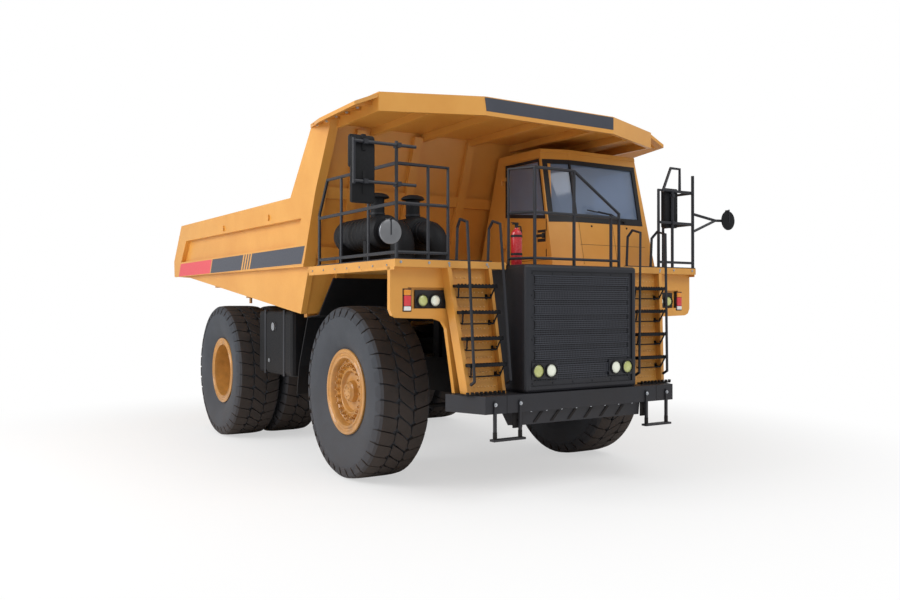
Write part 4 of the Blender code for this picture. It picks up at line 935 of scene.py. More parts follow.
@dataclass
class Radiator:
    """Perforated grille in its housing, with two pairs of lamps.

    Attributes:
        pitch: Distance between the holes.
        hole: Radius of a hole.
        bands: Raised bands from top to bottom.
        band_share: Share of a band's pitch that is raised.
        raised: How far a band stands forward.
        lamp_height: Height of the head lamps.
        lamps_apart: Distance of the inner and the outer lamp from the middle.
    """
    pitch: float = 0.024
    hole: float = 0.0096
    bands: int = 7
    band_share: float = 0.62
    raised: float = 0.016
    lamp_height: float = 1.419
    lamps_apart: tuple[float, float] = (0.493, 0.679)

    def row(self, columns: int) -> Shape:
        """Return one row of square cells with a round hole in each.

        Args:
            columns: Cells in the row.

        Returns:
            The row, centred on the Z axis at the origin's height.
        """
        cell = Shape()
        ring = bmesh.ops.create_circle(cell.bm, segments=8, radius=self.hole,
                                       matrix=Matrix.Rotation(math.pi / 2, 4, "X"))
        edges = list({edge for v in ring["verts"] for edge in v.link_edges})
        for v in bmesh.ops.extrude_edge_only(cell.bm, edges=edges)["geom"]:
            if isinstance(v, bmesh.types.BMVert):
                v.co *= self.pitch / 2 / max(abs(v.co.x), abs(v.co.z))
        start = -(columns - 1) * self.pitch / 2
        return Shape().stamp(cell, [Matrix.Translation((start + index * self.pitch, 0, 0))
                                    for index in range(columns)])

    def make(self) -> None:
        """Make the perforated sheets, their edges, the dark core and the frame round them."""
        low, high = box_of("radiator_grille")
        edge = 0.055
        x_low, x_high, z_low, z_high = low.x + edge, high.x - edge, low.z + edge, high.z - edge
        step = (z_high - z_low) / self.bands
        row = self.row(int((x_high - x_low) / self.pitch))
        sheet, strips = Shape(), Shape()
        face_y = low.y + 0.004
        for band in range(self.bands):
            top = z_high - band * step
            tall = int(step * self.band_share / self.pitch)
            short = int(step / self.pitch) - tall
            for rows, y, from_z in ((tall, face_y - self.raised, top), (short, face_y, top - tall * self.pitch)):
                sheet.stamp(row, [Matrix.Translation((0, y, from_z - (index + 0.5) * self.pitch))
                                  for index in range(rows)])
            for z in (top, top - tall * self.pitch):
                strips.box((x_low - 0.006, face_y - self.raised - 0.002, z - 0.005),
                           (x_high + 0.006, face_y + 0.002, z + 0.005), 0.002, 1)
        bmesh.ops.remove_doubles(sheet.bm, verts=sheet.bm.verts, dist=0.0003)
        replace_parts(sheet.piece("grille_perforated_sheet", GRILLE_GREY, CHASSIS), "radiator_grille")
        strips.piece("grille_band_edges", GRILLE_GREY, CHASSIS)
        Shape().box((low.x + 0.010, high.y - 0.012, low.z + 0.010), (high.x - 0.010, high.y, high.z - 0.010)).piece(
            "radiator_core", SEAL, CHASSIS)
        outer = [(low.x, low.y, low.z), (high.x, low.y, low.z), (high.x, low.y, high.z), (low.x, low.y, high.z)]
        inner = [(x_low, low.y, z_low), (x_high, low.y, z_low), (x_high, low.y, z_high), (x_low, low.y, z_high)]
        Shape().ring(outer, inner, (0, 0.020, 0)).piece("grille_frame", POWDER_GREY, CHASSIS)
        bolts = Shape()
        for index in range(6):
            x = mixed(low.x + 0.03, high.x - 0.03, index / 5)
            for z in (low.z + 0.028, high.z - 0.028):
                bolts.bolt((x, low.y, z), (0, -1, 0), 0.008)
        for index in range(1, 5):
            z = mixed(low.z + 0.03, high.z - 0.03, index / 5)
            for x in (low.x + 0.028, high.x - 0.028):
                bolts.bolt((x, low.y, z), (0, -1, 0), 0.008)
        bolts.piece("grille_screws", POWDER_GREY, CHASSIS)
        self.lamps(low)

    def lamps(self, low: Vector) -> None:
        """Set the two pairs of head lamps on their dark plates low on the grille.

        Args:
            low: Lowest corner of the grille.
        """
        z = self.lamp_height
        for side in SIDES:
            inner, outer = side * self.lamps_apart[0], side * self.lamps_apart[1]
            left, right = sorted((inner - side * 0.100, outer + side * 0.085))
            Shape().box((left, low.y - 0.022, z - 0.095), (right, low.y + 0.004, z + 0.095), 0.010).piece(
                f"head_lamp_plate_{SIDE_NAMES[side]}", POWDER_GREY, CHASSIS)
            Lamp((inner, low.y - 0.024, z), 0.074, LENS_WHITE, f"head_lamp_inner_{SIDE_NAMES[side]}").make()
            Lamp((outer, low.y - 0.024, z), 0.074, LENS_WARM, f"head_lamp_outer_{SIDE_NAMES[side]}").make()


@dataclass
class Bumper:
    """Bolts, end plates, guard and hanging steps of the front bumper."""

    def make(self) -> None:
        """Dress the bumper."""
        low, high = box_of("front_bumper")
        front, top = -4.606, high.z
        bolts, dark = Shape(), Shape()
        for side in SIDES:
            for x in (0.961, 1.300):
                bolts.bolt((side * x, front - 0.018, 1.085), (0, -1, 0), 0.015)
                dark.rod((side * x, front - 0.004, 0.790), (side * x, front - 0.004, 0.716), 0.024, 12)
            seam = side * 1.135
            dark.box((seam - 0.003, front - 0.0015, 0.986), (seam + 0.003, front + 0.010, top - 0.002))
            near, far = sorted((side * 1.05, side * 1.55))
            dark.box((near, front + 0.150, top), (far, front + 0.420, top + 0.012), 0.003, 1)
            dark.box((min(side * 0.90, side * 1.03), -4.575, 0.810), (max(side * 0.90, side * 1.03), -4.555, 0.985),
                     0.006)
            dark.bolt((side * 0.965, -4.575, 0.885), (0, -1, 0), 0.014)
            for index in range(9):
                x = side * mixed(1.06, 1.54, index / 8)
                dark.box((x - 0.014, front + 0.148, top + 0.010), (x + 0.014, front + 0.180, top + 0.040), 0.004, 1)
        for index in range(8):
            bolts.bolt((mixed(-0.770, 0.770, index / 7), -4.561, 0.985), (0, -1, 0), 0.011)
        for index in range(6):
            x = mixed(-0.62, 0.62, index / 5)
            dark.sheet([(x - 0.02, -4.562, 0.965), (x + 0.02, -4.562, 0.965), (x - 0.075, -4.546, 0.850),
                        (x - 0.115, -4.546, 0.850)], (0, -0.004, 0))
        bolts.piece("bumper_bolts", ZINC, CHASSIS)
        dark.piece("bumper_fittings", CHASSIS_BLACK, CHASSIS)


@dataclass
class Fenders:
    """Lamps, markers, black steps and anti-slip studs of the front fenders and ladders.

    Attributes:
        step_low: Height of the lowest step.
        step_pitch: Distance between the steps.
        steps: Steps in a ladder.
    """
    step_low: float = 1.500
    step_pitch: float = 0.288
    steps: int = 4
    foot: tuple[float, float] = (1.176, -4.370)
    head: tuple[float, float] = (2.565, -4.190)

    def lean(self, z: float) -> tuple[float, float]:
        """Return the ladder plane's y at a height, and the share of the climb."""
        share = (z - self.foot[0]) / (self.head[0] - self.foot[0])
        return mixed(self.foot[1], self.head[1], share), share

    def ladder(self, side: int) -> None:
        """Make the black steps, their hangers and the studs of one ladder.

        Args:
            side: -1 or 1.
        """
        name = SIDE_NAMES[side]
        steps, studs = Shape(), Shape()
        for index in range(self.steps):
            z = self.step_low + self.step_pitch * index
            y, share = self.lean(z)
            left, right = mixed(0.996, 1.068, share), mixed(1.474, 1.620, share)
            x_low, x_high = sorted((side * left, side * right))
            steps.box((x_low, y - 0.114, z - 0.018), (x_high, y + 0.020, z + 0.018), 0.004, 1)
            for tooth in range(12):
                x = mixed(x_low + 0.02, x_high - 0.02, tooth / 11)
                steps.box((x - 0.009, y - 0.114, z + 0.017), (x + 0.009, y - 0.098, z + 0.027))
            drop = z - 0.125
            low_y = self.lean(drop)[0]
            route = [(x_low + 0.03, y - 0.095, z - 0.012), (x_low + 0.055, low_y - 0.030, drop),
                     (x_high - 0.055, low_y - 0.030, drop), (x_high - 0.03, y - 0.095, z - 0.012)]
            steps.sweep(route, 0.010)
            for x in (x_low + 0.055, x_high - 0.055):
                steps.rod((x, low_y - 0.030, drop), (x, low_y + 0.060, drop + 0.012), 0.009, 8)
                steps.box((x - 0.012, low_y + 0.040, drop - 0.016), (x + 0.012, low_y + 0.066, drop + 0.040),
                          0.003, 1)
                steps.bolt((x, low_y - 0.036, drop + 0.030), (0, -1, 0), 0.009)
        for row in range(16):
            z = mixed(1.255, 2.460, row / 15)
            y, share = self.lean(z)
            left, right = mixed(1.075, 1.145, share), mixed(1.415, 1.560, share)
            for column in range(8):
                x = side * mixed(left, right, (column + 0.5 * (row % 2)) / 7.5)
                studs.rod((x, y + 0.062, z), (x, y + 0.050, z), 0.009, 8, 0.005)
        steps.piece(f"ladder_steps_{name}", CHASSIS_BLACK, CHASSIS)
        # The studs get a lighter enamel: a painted highlight on their crowns.
        studs.piece(f"ladder_studs_{name}", STUD_HIGHLIGHT_ENAMEL, CHASSIS)

    def lamps(self, side: int) -> None:
        """Set the pair of lamps and the three-colour marker in the fascia's recess.

        Args:
            side: -1 or 1.
        """
        name = SIDE_NAMES[side]
        back = -4.060
        x_low, x_high = sorted((side * 1.592, side * 1.985))
        Shape().box((x_low, back - 0.022, 2.100), (x_high, back + 0.002, 2.322), 0.004).piece(
            f"fascia_lamp_plate_{name}", SEAL, CHASSIS)
        Lamp((side * 1.735, back - 0.028, 2.206), 0.064, LENS_WHITE, f"fascia_lamp_inner_{name}").make()
        Lamp((side * 1.893, back - 0.028, 2.206), 0.064, LENS_WARM, f"fascia_lamp_outer_{name}").make()
        face = -4.095
        for label, finish, z_low, z_high in (("amber", LENS_AMBER, 2.262, 2.326), ("red", LENS_RED, 2.146, 2.262),
                                             ("white", LENS_PLAIN, 2.096, 2.146)):
            left, right = sorted((side * 2.050, side * 2.135))
            Shape().box((left, face - 0.016, z_low + 0.002), (right, face + 0.040, z_high - 0.002), 0.006).piece(
                f"marker_{label}_{name}", finish, CHASSIS)
        left, right = sorted((side * 2.038, side * 2.148))
        Shape().box((left, face - 0.004, 2.086), (right, face + 0.038, 2.336), 0.003, 1).piece(
            f"marker_base_{name}", SEAL, CHASSIS)

    def make(self) -> None:
        """Dress both fenders."""
        for side in SIDES:
            self.ladder(side)
            self.lamps(side)


# ---------------------------------------------------------------- deck
@dataclass
class Deck:
    """Deck edge, gussets, bolts and the equipment standing on it."""
    half: float = 2.300
    front: float = -4.205
    rear: float = -1.925
    top: float = 2.645
    bottom: float = 2.565

    def edge(self) -> None:
        """Make the lower lip, the gussets at the sides and the rail bolts."""
        gussets, bolts = Shape(), Shape()
        for side in SIDES:
            outer, inner = side * self.half, side * (self.half - 0.115)
            low, high = sorted((outer, side * (self.half - 0.012)))
            gussets.box((low, self.front + 0.02, self.bottom - 0.030), (high, self.rear - 0.02, self.bottom))
            for index in range(7):
                y = mixed(self.front + 0.12, self.rear - 0.20, index / 6)
                gussets.sheet([(outer, y, self.bottom - 0.028), (outer, y, self.bottom - 0.001),
                               (inner, y, self.bottom - 0.001)], (0, 0.012, 0))
                bolts.bolt((outer, y + 0.06, self.bottom + 0.022), (side, 0, 0), 0.009)
            for x in (1.120, 1.625, 1.880, 2.230):
                bolts.bolt((side * x, self.front, self.top - 0.030), (0, -1, 0), 0.011)
            for x in (1.10, 1.62):
                bolts.bolt((side * x, self.front, self.bottom + 0.024), (0, -1, 0), 0.008)
        gussets.piece("deck_edge_gussets", ENAMEL, CHASSIS)
        bolts.piece("deck_bolts", ZINC, CHASSIS)

    def air_cleaners(self) -> None:
        """Make the two ribbed drums with their stacks, rain caps and elbows."""
        body, clamps = Shape(), Shape()
        floor = self.top + 0.001
        for x, stack_y in ((-1.980, -3.200), (-1.530, -3.250)):
            drum = [(0.0, -3.470), (0.150, -3.468), (0.185, -3.455), (0.196, -3.430)]
            for index in range(9):
                y = -3.330 + index * 0.100
                drum += [(0.196, y - 0.022), (0.200, y - 0.014), (0.200, y + 0.014), (0.196, y + 0.022)]
            drum += [(0.196, -2.420), (0.180, -2.385), (0.120, -2.376), (0.0, -2.375)]
            body.turned([(radius, -along) for radius, along in drum], (x, 0, 3.000), (0, -1, 0), 48)
            stack = [(0.083, 0.0), (0.083, 0.400), (0.112, 0.405), (0.139, 0.412), (0.140, 0.424), (0.120, 0.448),
                     (0.070, 0.466), (0.0, 0.470)]
            body.turned(stack, (x, stack_y, 3.000), (0, 0, 1), 32)
            elbow = [(x, -3.440, 3.000)]
            for index in range(13):
                turn = math.pi / 2 * index / 12
                elbow.append((x, -3.600 - 0.198 * math.sin(turn), 3.000 - 0.198 * (1 - math.cos(turn))))
            elbow.append((x, -3.798, floor))
            body.sweep(elbow, 0.134, 6)
            for y in (-3.500, -3.585):
                clamps.turned([(0.136, 0.0), (0.142, 0.0), (0.142, 0.018), (0.136, 0.018)], (x, y, 3.000), (0, 1, 0),
                              32, closed=True)
            clamps.turned([(0.084, 0.0), (0.090, 0.0), (0.090, 0.020), (0.084, 0.020)], (x, stack_y, 3.215),
                          (0, 0, 1), 32, closed=True)
            clamps.turned([(0.135, 0.0), (0.142, 0.0), (0.142, 0.022), (0.135, 0.022)], (x, -3.798, 2.720),
                          (0, 0, 1), 32, closed=True)
            for y in (-3.300, -2.650):
                body.box((x - 0.200, y, floor), (x + 0.200, y + 0.078, 2.900), 0.006, 1)
        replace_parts(body.piece("air_cleaner_drums", CHASSIS_BLACK, CHASSIS), "air_cleaners")
        clamps.piece("air_cleaner_clamps", POWDER_GREY, CHASSIS)

    def extinguisher(self) -> None:
        """Make the red bottle with its bands, valve and lever."""
        low, high = box_of("fire_extinguisher")
        x, y, foot = (low.x + high.x) / 2, (low.y + high.y) / 2, low.z
        bottle = [(0.0, 0.0), (0.058, 0.0), (0.064, 0.012), (0.065, 0.350), (0.060, 0.385), (0.044, 0.412),
                  (0.026, 0.424), (0.022, 0.440), (0.0, 0.440)]
        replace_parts(Shape().turned(bottle, (x, y, foot), (0, 0, 1), 32).piece("extinguisher_bottle", RED, CHASSIS),
                    "fire_extinguisher")
        black = Shape()
        for z in (0.120, 0.330):
            black.turned([(0.0655, 0.0), (0.0685, 0.0), (0.0685, 0.026), (0.0655, 0.026)], (x, y, foot + z),
                         (0, 0, 1), 32, closed=True)
            black.box((x - 0.022, y + 0.060, foot + z), (x + 0.022, y + 0.085, foot + z + 0.026), 0.003, 1)
        black.rod((x, y, foot + 0.436), (x, y, foot + 0.480), 0.020, 16)
        black.box((x - 0.060, y - 0.012, foot + 0.478), (x + 0.030, y + 0.012, foot + 0.492), 0.004, 1)
        black.box((x - 0.075, y - 0.010, foot + 0.494), (x + 0.026, y + 0.010, foot + 0.503), 0.003, 1)
        black.sweep([(x + 0.020, y, foot + 0.462), (x + 0.062, y, foot + 0.455), (x + 0.072, y, foot + 0.400),
                     (x + 0.071, y, foot + 0.230)], 0.009)
        black.piece("extinguisher_fittings", SEAL, CHASSIS)

    def mirrors(self) -> None:
        """Make the big right mirror, the left one and the rims of the round ones."""
        low, high = box_of("side_mirror_right")
        back = Shape().box((low.x + 0.010, low.y + 0.002, low.z), (high.x - 0.010, high.y - 0.030, high.z - 0.020),
                           0.022, 3)
        back.box((low.x, low.y + 0.030, high.z - 0.345), (high.x, high.y, high.z), 0.026, 3)
        middle = (low.x + high.x) / 2
        back.box((middle - 0.018, low.y - 0.006, low.z + 0.09), (middle + 0.018, low.y + 0.012, low.z + 0.33), 0.005)
        back.box((middle - 0.022, low.y - 0.010, high.z - 0.17), (middle + 0.022, low.y + 0.034, high.z + 0.0), 0.005)
        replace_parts(back.piece("mirror_housing_right", CHASSIS_BLACK, CHASSIS), "side_mirror_right")
        Shape().box((low.x + 0.035, high.y - 0.034, low.z + 0.025), (high.x - 0.035, high.y - 0.026, high.z - 0.370),
                    0.004).piece("mirror_glass_right_low", MIRROR, CHASSIS)
        Shape().box((low.x + 0.022, high.y - 0.003, high.z - 0.325), (high.x - 0.022, high.y + 0.003, high.z - 0.020),
                    0.002, 1).piece("mirror_glass_right_high", MIRROR, CHASSIS)
        low, high = box_of("side_mirror_left")
        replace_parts(Shape().box(low, high, 0.020, 3).piece("mirror_housing_left", CHASSIS_BLACK, CHASSIS),
                    "side_mirror_left")
        Shape().box((low.x + 0.020, high.y - 0.004, low.z + 0.020), (high.x - 0.020, high.y + 0.003, high.z - 0.020),
                    0.002, 1).piece("mirror_glass_left", MIRROR, CHASSIS)
        for name in ("right", "left"):
            low, high = box_of(f"convex_mirror_{name}")
            x, z = (low.x + high.x) / 2, (low.z + high.z) / 2
            dish = [(0.0, 0.002), (0.100, 0.002), (0.126, 0.010), (0.1295, 0.016), (0.1295, 0.024), (0.118, 0.029),
                    (0.0, 0.0295)]
            finish = MIRROR if name == "right" else CHASSIS_BLACK
            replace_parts(Shape().turned([(r, -a) for r, a in dish], (x, low.y, z), (0, -1, 0), 48).piece(
                f"round_mirror_{name}", finish, CHASSIS), f"convex_mirror_{name}")
            strap = Shape().box((x - 0.006, low.y - 0.004, z - 0.035), (x + 0.006, low.y + 0.003, z + 0.150),
                                0.002, 1)
            strap.box((x - 0.012, low.y - 0.004, z + 0.120), (x + 0.012, high.y + 0.030, z + 0.142), 0.003, 1)
            strap.piece(f"round_mirror_strap_{name}", POWDER_GREY, CHASSIS)

    def make(self) -> None:
        """Dress the deck and build what stands on it."""
        self.edge()
        self.air_cleaners()
        self.extinguisher()
        self.mirrors()


# ---------------------------------------------------------------- cab
@dataclass
class Cab:
    """Window borders, wiper, door fittings, seams and the inside of the cab.

    The front plane and the slanted corner pane lean back with height.
    """
    floor: float = 2.645
    roof: float = 4.250
    right: float = 0.500
    corner: float = 0.880
    front_low: float = -3.570
    front_high: float = -3.250
    side_low: float = -3.400
    side_high: float = -3.120
    glass_low: float = 3.330
    glass_high: float = 4.060

    def skin(self, x: float, z: float, out: float = 0.0) -> Vector:
        """Return the point of the cab's front skin at x and z, moved outward.

        Args:
            x: Place across.
            z: Height.
            out: Distance in front of the skin.

        Returns:
            The point.
        """
        share = (z - self.floor) / (self.roof - self.floor)
        front = mixed(self.front_low, self.front_high, share)
        if x >= self.corner:
            return Vector((x, front - out, z))
        across = (x - self.right) / (self.corner - self.right)
        if share + across <= 1:  # the corner pane folds along its diagonal
            y = (self.side_low + across * (self.front_low - self.side_low)
                 + share * (self.side_high - self.side_low))
        else:
            y = (self.front_high + (1 - across) * (self.side_high - self.front_high)
                 + (1 - share) * (self.front_low - self.front_high))
        return Vector((x - out * 0.5, y - out, z))

    def strip(self, shape: Shape, places: Sequence[tuple[float, float, float]], out: float = 0.004) -> None:
        """Lay a flat strip along the skin.

        Args:
            shape: Shape to add to.
            places: (x, lower z, upper z) at each station.
            out: Thickness in front of the skin.
        """
        low = [self.skin(x, bottom, out) for x, bottom, _ in places]
        high = [self.skin(x, top, out) for x, _, top in places]
        faces = []
        rows = [[shape.bm.verts.new(p) for p in row] for row in (low, high)]
        for index in range(len(places) - 1):
            faces.append(shape.bm.faces.new((rows[0][index], rows[0][index + 1], rows[1][index + 1],
                                             rows[1][index])))
        shape.thicken(faces, Vector((0, out + 0.012, 0)))

    def borders(self) -> None:
        """Make the black border round the wrapped windshield and its thin post."""
        border = Shape()
        left, right = 2.075, 0.515
        stations = (right, 0.640, 0.760, self.corner - 0.001, self.corner, left)
        for centre, below, above in ((self.glass_high, 0.012, 0.048), (self.glass_low, 0.070, 0.020)):
            self.strip(border, [(x, centre - below, centre + above) for x in stations])
        self.strip(border, [(right, self.glass_low + 0.015, self.glass_high - 0.008),
                            (right + 0.062, self.glass_low + 0.015, self.glass_high - 0.008)])
        self.strip(border, [(2.010, self.glass_low + 0.015, self.glass_high - 0.008),
                            (left, self.glass_low + 0.015, self.glass_high - 0.008)])
        self.strip(border, [(self.corner - 0.012, self.glass_low, self.glass_high),
                            (self.corner, self.glass_low, self.glass_high),
                            (self.corner + 0.012, self.glass_low, self.glass_high)], 0.006)
        border.piece("windshield_border", SEAL, CHASSIS)

    def wiper(self) -> None:
        """Make the wiper's arm, blade and spindle."""
        wiper = Shape()
        start, elbow = self.skin(1.720, 3.300, 0.020), self.skin(1.480, 3.395, 0.034)
        end = self.skin(1.060, 3.430, 0.030)
        wiper.rod(self.skin(1.720, 3.300, -0.005), self.skin(1.720, 3.300, 0.030), 0.016, 12)
        wiper.sweep([start, elbow, self.skin(1.270, 3.415, 0.034)], 0.007)
        wiper.sweep([self.skin(1.520, 3.385, 0.018), self.skin(1.270, 3.410, 0.018), end], 0.009)
        wiper.box(self.skin(1.285, 3.405, 0.036), self.skin(1.250, 3.425, 0.012))
        wiper.piece("wiper", SEAL, CHASSIS)

    def door(self) -> None:
        """Make the door's window border, handle pocket and front seam covers."""
        rear, grow = -2.330, 0.048
        opening = [(-3.215, 3.350), (-3.085, 4.075), (rear - 0.060, 4.075), (rear - 0.060, 3.430)]
        outer = [(opening[0][0] - 0.030, opening[0][1] - grow), (opening[1][0] - 0.022, opening[1][1] + 0.042),
                 (opening[2][0] + 0.030, opening[2][1] + 0.042), (opening[3][0] + 0.030, opening[3][1] - grow)]
        face = self.right
        border = Shape().ring([(face - 0.003, y, z) for y, z in outer], [(face - 0.003, y, z) for y, z in opening],
                              (0.006, 0, 0))
        border.piece("door_window_border", SEAL, CAB_DOOR)
        fittings = Shape()
        fittings.box((face - 0.004, -3.250, 3.000), (face + 0.004, -3.080, 3.160), 0.002, 1)
        fittings.box((face - 0.034, -3.235, 3.045), (face - 0.004, -3.205, 3.115), 0.006)
        fittings.box((face - 0.036, -3.235, 3.060), (face - 0.024, -3.095, 3.100), 0.005)
        for z_low, z_high in ((3.140, 3.300), (2.800, 2.900)):
            fittings.box((face - 0.003, -3.268, z_low), (face + 0.003, -3.258, z_high))
        fittings.piece("door_handle_and_covers", SEAL, CAB_DOOR)

    def seams(self) -> None:
        """Make the roof's drip edge and the panel seams of the front, with their bolts."""
        seam = Shape()
        for x in (0.900, 1.500):
            self.strip(seam, [(x, 2.700, self.glass_low - 0.075), (x + 0.004, 2.700, self.glass_low - 0.075)], 0.0015)
        self.strip(seam, [(self.corner, 2.960, 2.964), (2.060, 2.960, 2.964)], 0.0015)
        for x in (1.120, 1.760):
            seam.bolt(self.skin(x, 3.215, 0.002), (0, -1, 0.2), 0.010)
        seam.piece("cab_front_seams", SEAL, CHASSIS)
        eaves = Shape()
        self.strip(eaves, [(0.505, 4.196, 4.246), (self.corner - 0.001, 4.196, 4.246), (self.corner, 4.196, 4.246),
                           (2.098, 4.196, 4.246)], 0.012)
        eaves.piece("cab_roof_eaves", ENAMEL, CHASSIS)

    def inside(self) -> None:
        """Make the padded seat and its base, which show through the glass."""
        low, high = box_of("operator_seat")
        seat = Shape()
        seat.box((low.x, low.y, low.z + 0.330), (high.x, high.y - 0.050, low.z + 0.480), 0.050, 4)
        seat.box((low.x + 0.010, high.y - 0.140, low.z + 0.440), (high.x - 0.010, high.y, high.z - 0.190), 0.050, 4)
        seat.box((low.x + 0.120, high.y - 0.120, high.z - 0.200), (high.x - 0.120, high.y - 0.010, high.z), 0.040, 4)
        for x in (low.x, high.x - 0.060):
            seat.box((x, high.y - 0.400, low.z + 0.560), (x + 0.060, high.y - 0.080, low.z + 0.620), 0.020, 3)
        cushion = seat.piece("seat_cushions", SEAT_CLOTH, CHASSIS)
        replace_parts(cushion, "operator_seat")
        base = Shape().box((low.x + 0.080, low.y + 0.120, low.z), (high.x - 0.080, high.y - 0.120, low.z + 0.330),
                           0.020, 2)
        base.piece("seat_base", PLASTIC, CHASSIS)

    def make(self) -> None:
        """Dress the cab."""
        self.borders()
        self.wiper()
        self.door()
        self.seams()
        self.inside()


# ---------------------------------------------------------------- body
@dataclass
class DumpBody:
    """Weld beads, lugs, bolts and the dark band of the dump body and canopy."""
    half: float = 2.250
    canopy_front: float = -4.006
    canopy_half: float = 0.997
    canopy_low: float = 4.350
    canopy_top: float = 4.567

    def canopy(self) -> None:
        """Make the dark band on the canopy's front and the wing bolts."""
        low, high = self.canopy_low + 0.050, self.canopy_top - 0.010
        x = self.canopy_half
        band = Shape().sheet([(-x + 0.010, self.canopy_front, low), (x, self.canopy_front, low),
                              (x, self.canopy_front, high), (-x - 0.012, self.canopy_front, high)], (0, -0.0025, 0))
        band.piece("canopy_band", BAND_PAINT, DUMP_BODY)
        bolts, lips = Shape(), Shape()
        for side in SIDES:
            for index in range(5):
                y = mixed(-3.380, -2.250, index / 4)
                lips.sheet([(side * 2.146, y, 4.440), (side * 2.146, y, 4.530), (side * 2.400, y, 4.395)],
                           (0, 0.014, 0))
                bolts.bolt((side * 2.300, y + 0.060, 4.412), (side * 0.3, 0, -1), 0.016)
        lips.piece("canopy_wing_gussets", ENAMEL, DUMP_BODY)
        bolts.piece("canopy_wing_bolts", ZINC, DUMP_BODY)

    def headboard(self) -> None:
        """Make the upright and crosswise stiffeners on the front of the headboard."""
        ribs = Shape()

        def board(z: float) -> float:
            """Return the y of the headboard's front at a height."""
            return -1.360 - (z - 2.040) * 0.347
        for x in (-1.700, -0.850, 0.0, 0.850, 1.700):
            outline = [(x - 0.060, board(2.10) + 0.002, 2.10), (x - 0.060, board(4.40) + 0.002, 4.40),
                       (x - 0.060, board(4.40) - 0.078, 4.40), (x - 0.060, board(2.10) - 0.078, 2.10)]
            ribs.sheet(outline, (0.120, 0, 0))
        for z in (2.780, 3.540):
            ribs.sheet([(-2.085, board(z) + 0.002, z), (-2.085, board(z + 0.14) + 0.002, z + 0.14),
                        (-2.085, board(z + 0.14) - 0.060, z + 0.14), (-2.085, board(z) - 0.060, z)], (4.170, 0, 0))
        ribs.piece("headboard_stiffeners", ENAMEL, DUMP_BODY)

    def sides(self) -> None:
        """Make the lugs and weld seams of the sides."""
        lugs, beads = Shape(), Shape()
        for side in SIDES:
            x = side * self.half
            for y in (-0.402, 1.625):
                lugs.rod((x - side * 0.002, y, 3.404), (x + side * 0.024, y, 3.404), 0.030, 16)
                lugs.box((min(x, x + side * 0.022), y - 0.012, 3.360), (max(x, x + side * 0.022), y + 0.012, 3.450),
                         0.004)
            beads.sweep([(x, -1.655, 2.690), (x, 4.560, 2.695)], 0.005, 1)
        lugs.piece("side_lugs", ENAMEL, DUMP_BODY)
        beads.piece("side_weld_beads", ENAMEL, DUMP_BODY)

    def make(self) -> None:
        """Dress the dump body."""
        self.canopy()
        self.headboard()
        self.sides()


@dataclass
class Underneath:
    """Fittings of the tanks and hoists."""

    def tanks(self) -> None:
        """Make straps and caps of the two tanks."""
        straps, caps = Shape(), Shape()
        for node, side in (("hydraulic_tank", 1), ("fuel_tank", -1)):
            low, high = box_of(node)
            face = high.x if side > 0 else low.x
            for y in (low.y + 0.300, high.y - 0.300):
                straps.box((low.x - 0.001, y - 0.030, low.z - 0.004), (high.x + 0.001, y + 0.030, low.z + 0.002))
                straps.box((min(face, face + side * 0.006), y - 0.030, low.z - 0.004),
                           (max(face, face + side * 0.006), y + 0.030, high.z + 0.004))
                straps.box((low.x + 0.001, y - 0.030, high.z - 0.001), (high.x - 0.001, y + 0.030, high.z + 0.006))
            middle = (low.y + high.y) / 2
            caps.rod((face, middle, high.z - 0.240), (face + side * 0.030, middle, high.z - 0.240), 0.060, 24)
            drain = (middle + 0.20, low.z + 0.20)
            caps.rod((face, *drain), (face + side * 0.012, *drain), 0.030, 16)
        straps.piece("tank_straps", POWDER_GREY, CHASSIS)
        caps.piece("tank_caps", ZINC, CHASSIS)

    def hoists(self) -> None:
        """Make the glands where the hoist's stages leave each other."""
        foot, head = Vector((0.635, 0.800, 0.950)), Vector((0.635, 0.700, 2.150))
        along = (head - foot).normalized()
        for side in SIDES:
            name = SIDE_NAMES[side]
            start = Vector((foot.x * side, foot.y, foot.z))
            direction = Vector((0, along.y, along.z))
            barrel = Shape().turned([(0.1055, 0.940), (0.116, 0.945), (0.116, 0.998), (0.1055, 0.998)], start,
                                    direction, 40, closed=True)
            barrel.piece(f"hoist_gland_{name}", CHASSIS_BLACK, f"hoist_barrel_{name}")
            stage = Shape().turned([(0.0862, 1.006), (0.092, 1.008), (0.092, 1.028), (0.0862, 1.028)], start,
                                   direction, 40, closed=True)
            stage.piece(f"hoist_stage_gland_{name}", CHASSIS_BLACK, f"hoist_stage_{name}")

    def make(self) -> None:
        """Dress what is under the truck."""
        self.tanks()
        self.hoists()


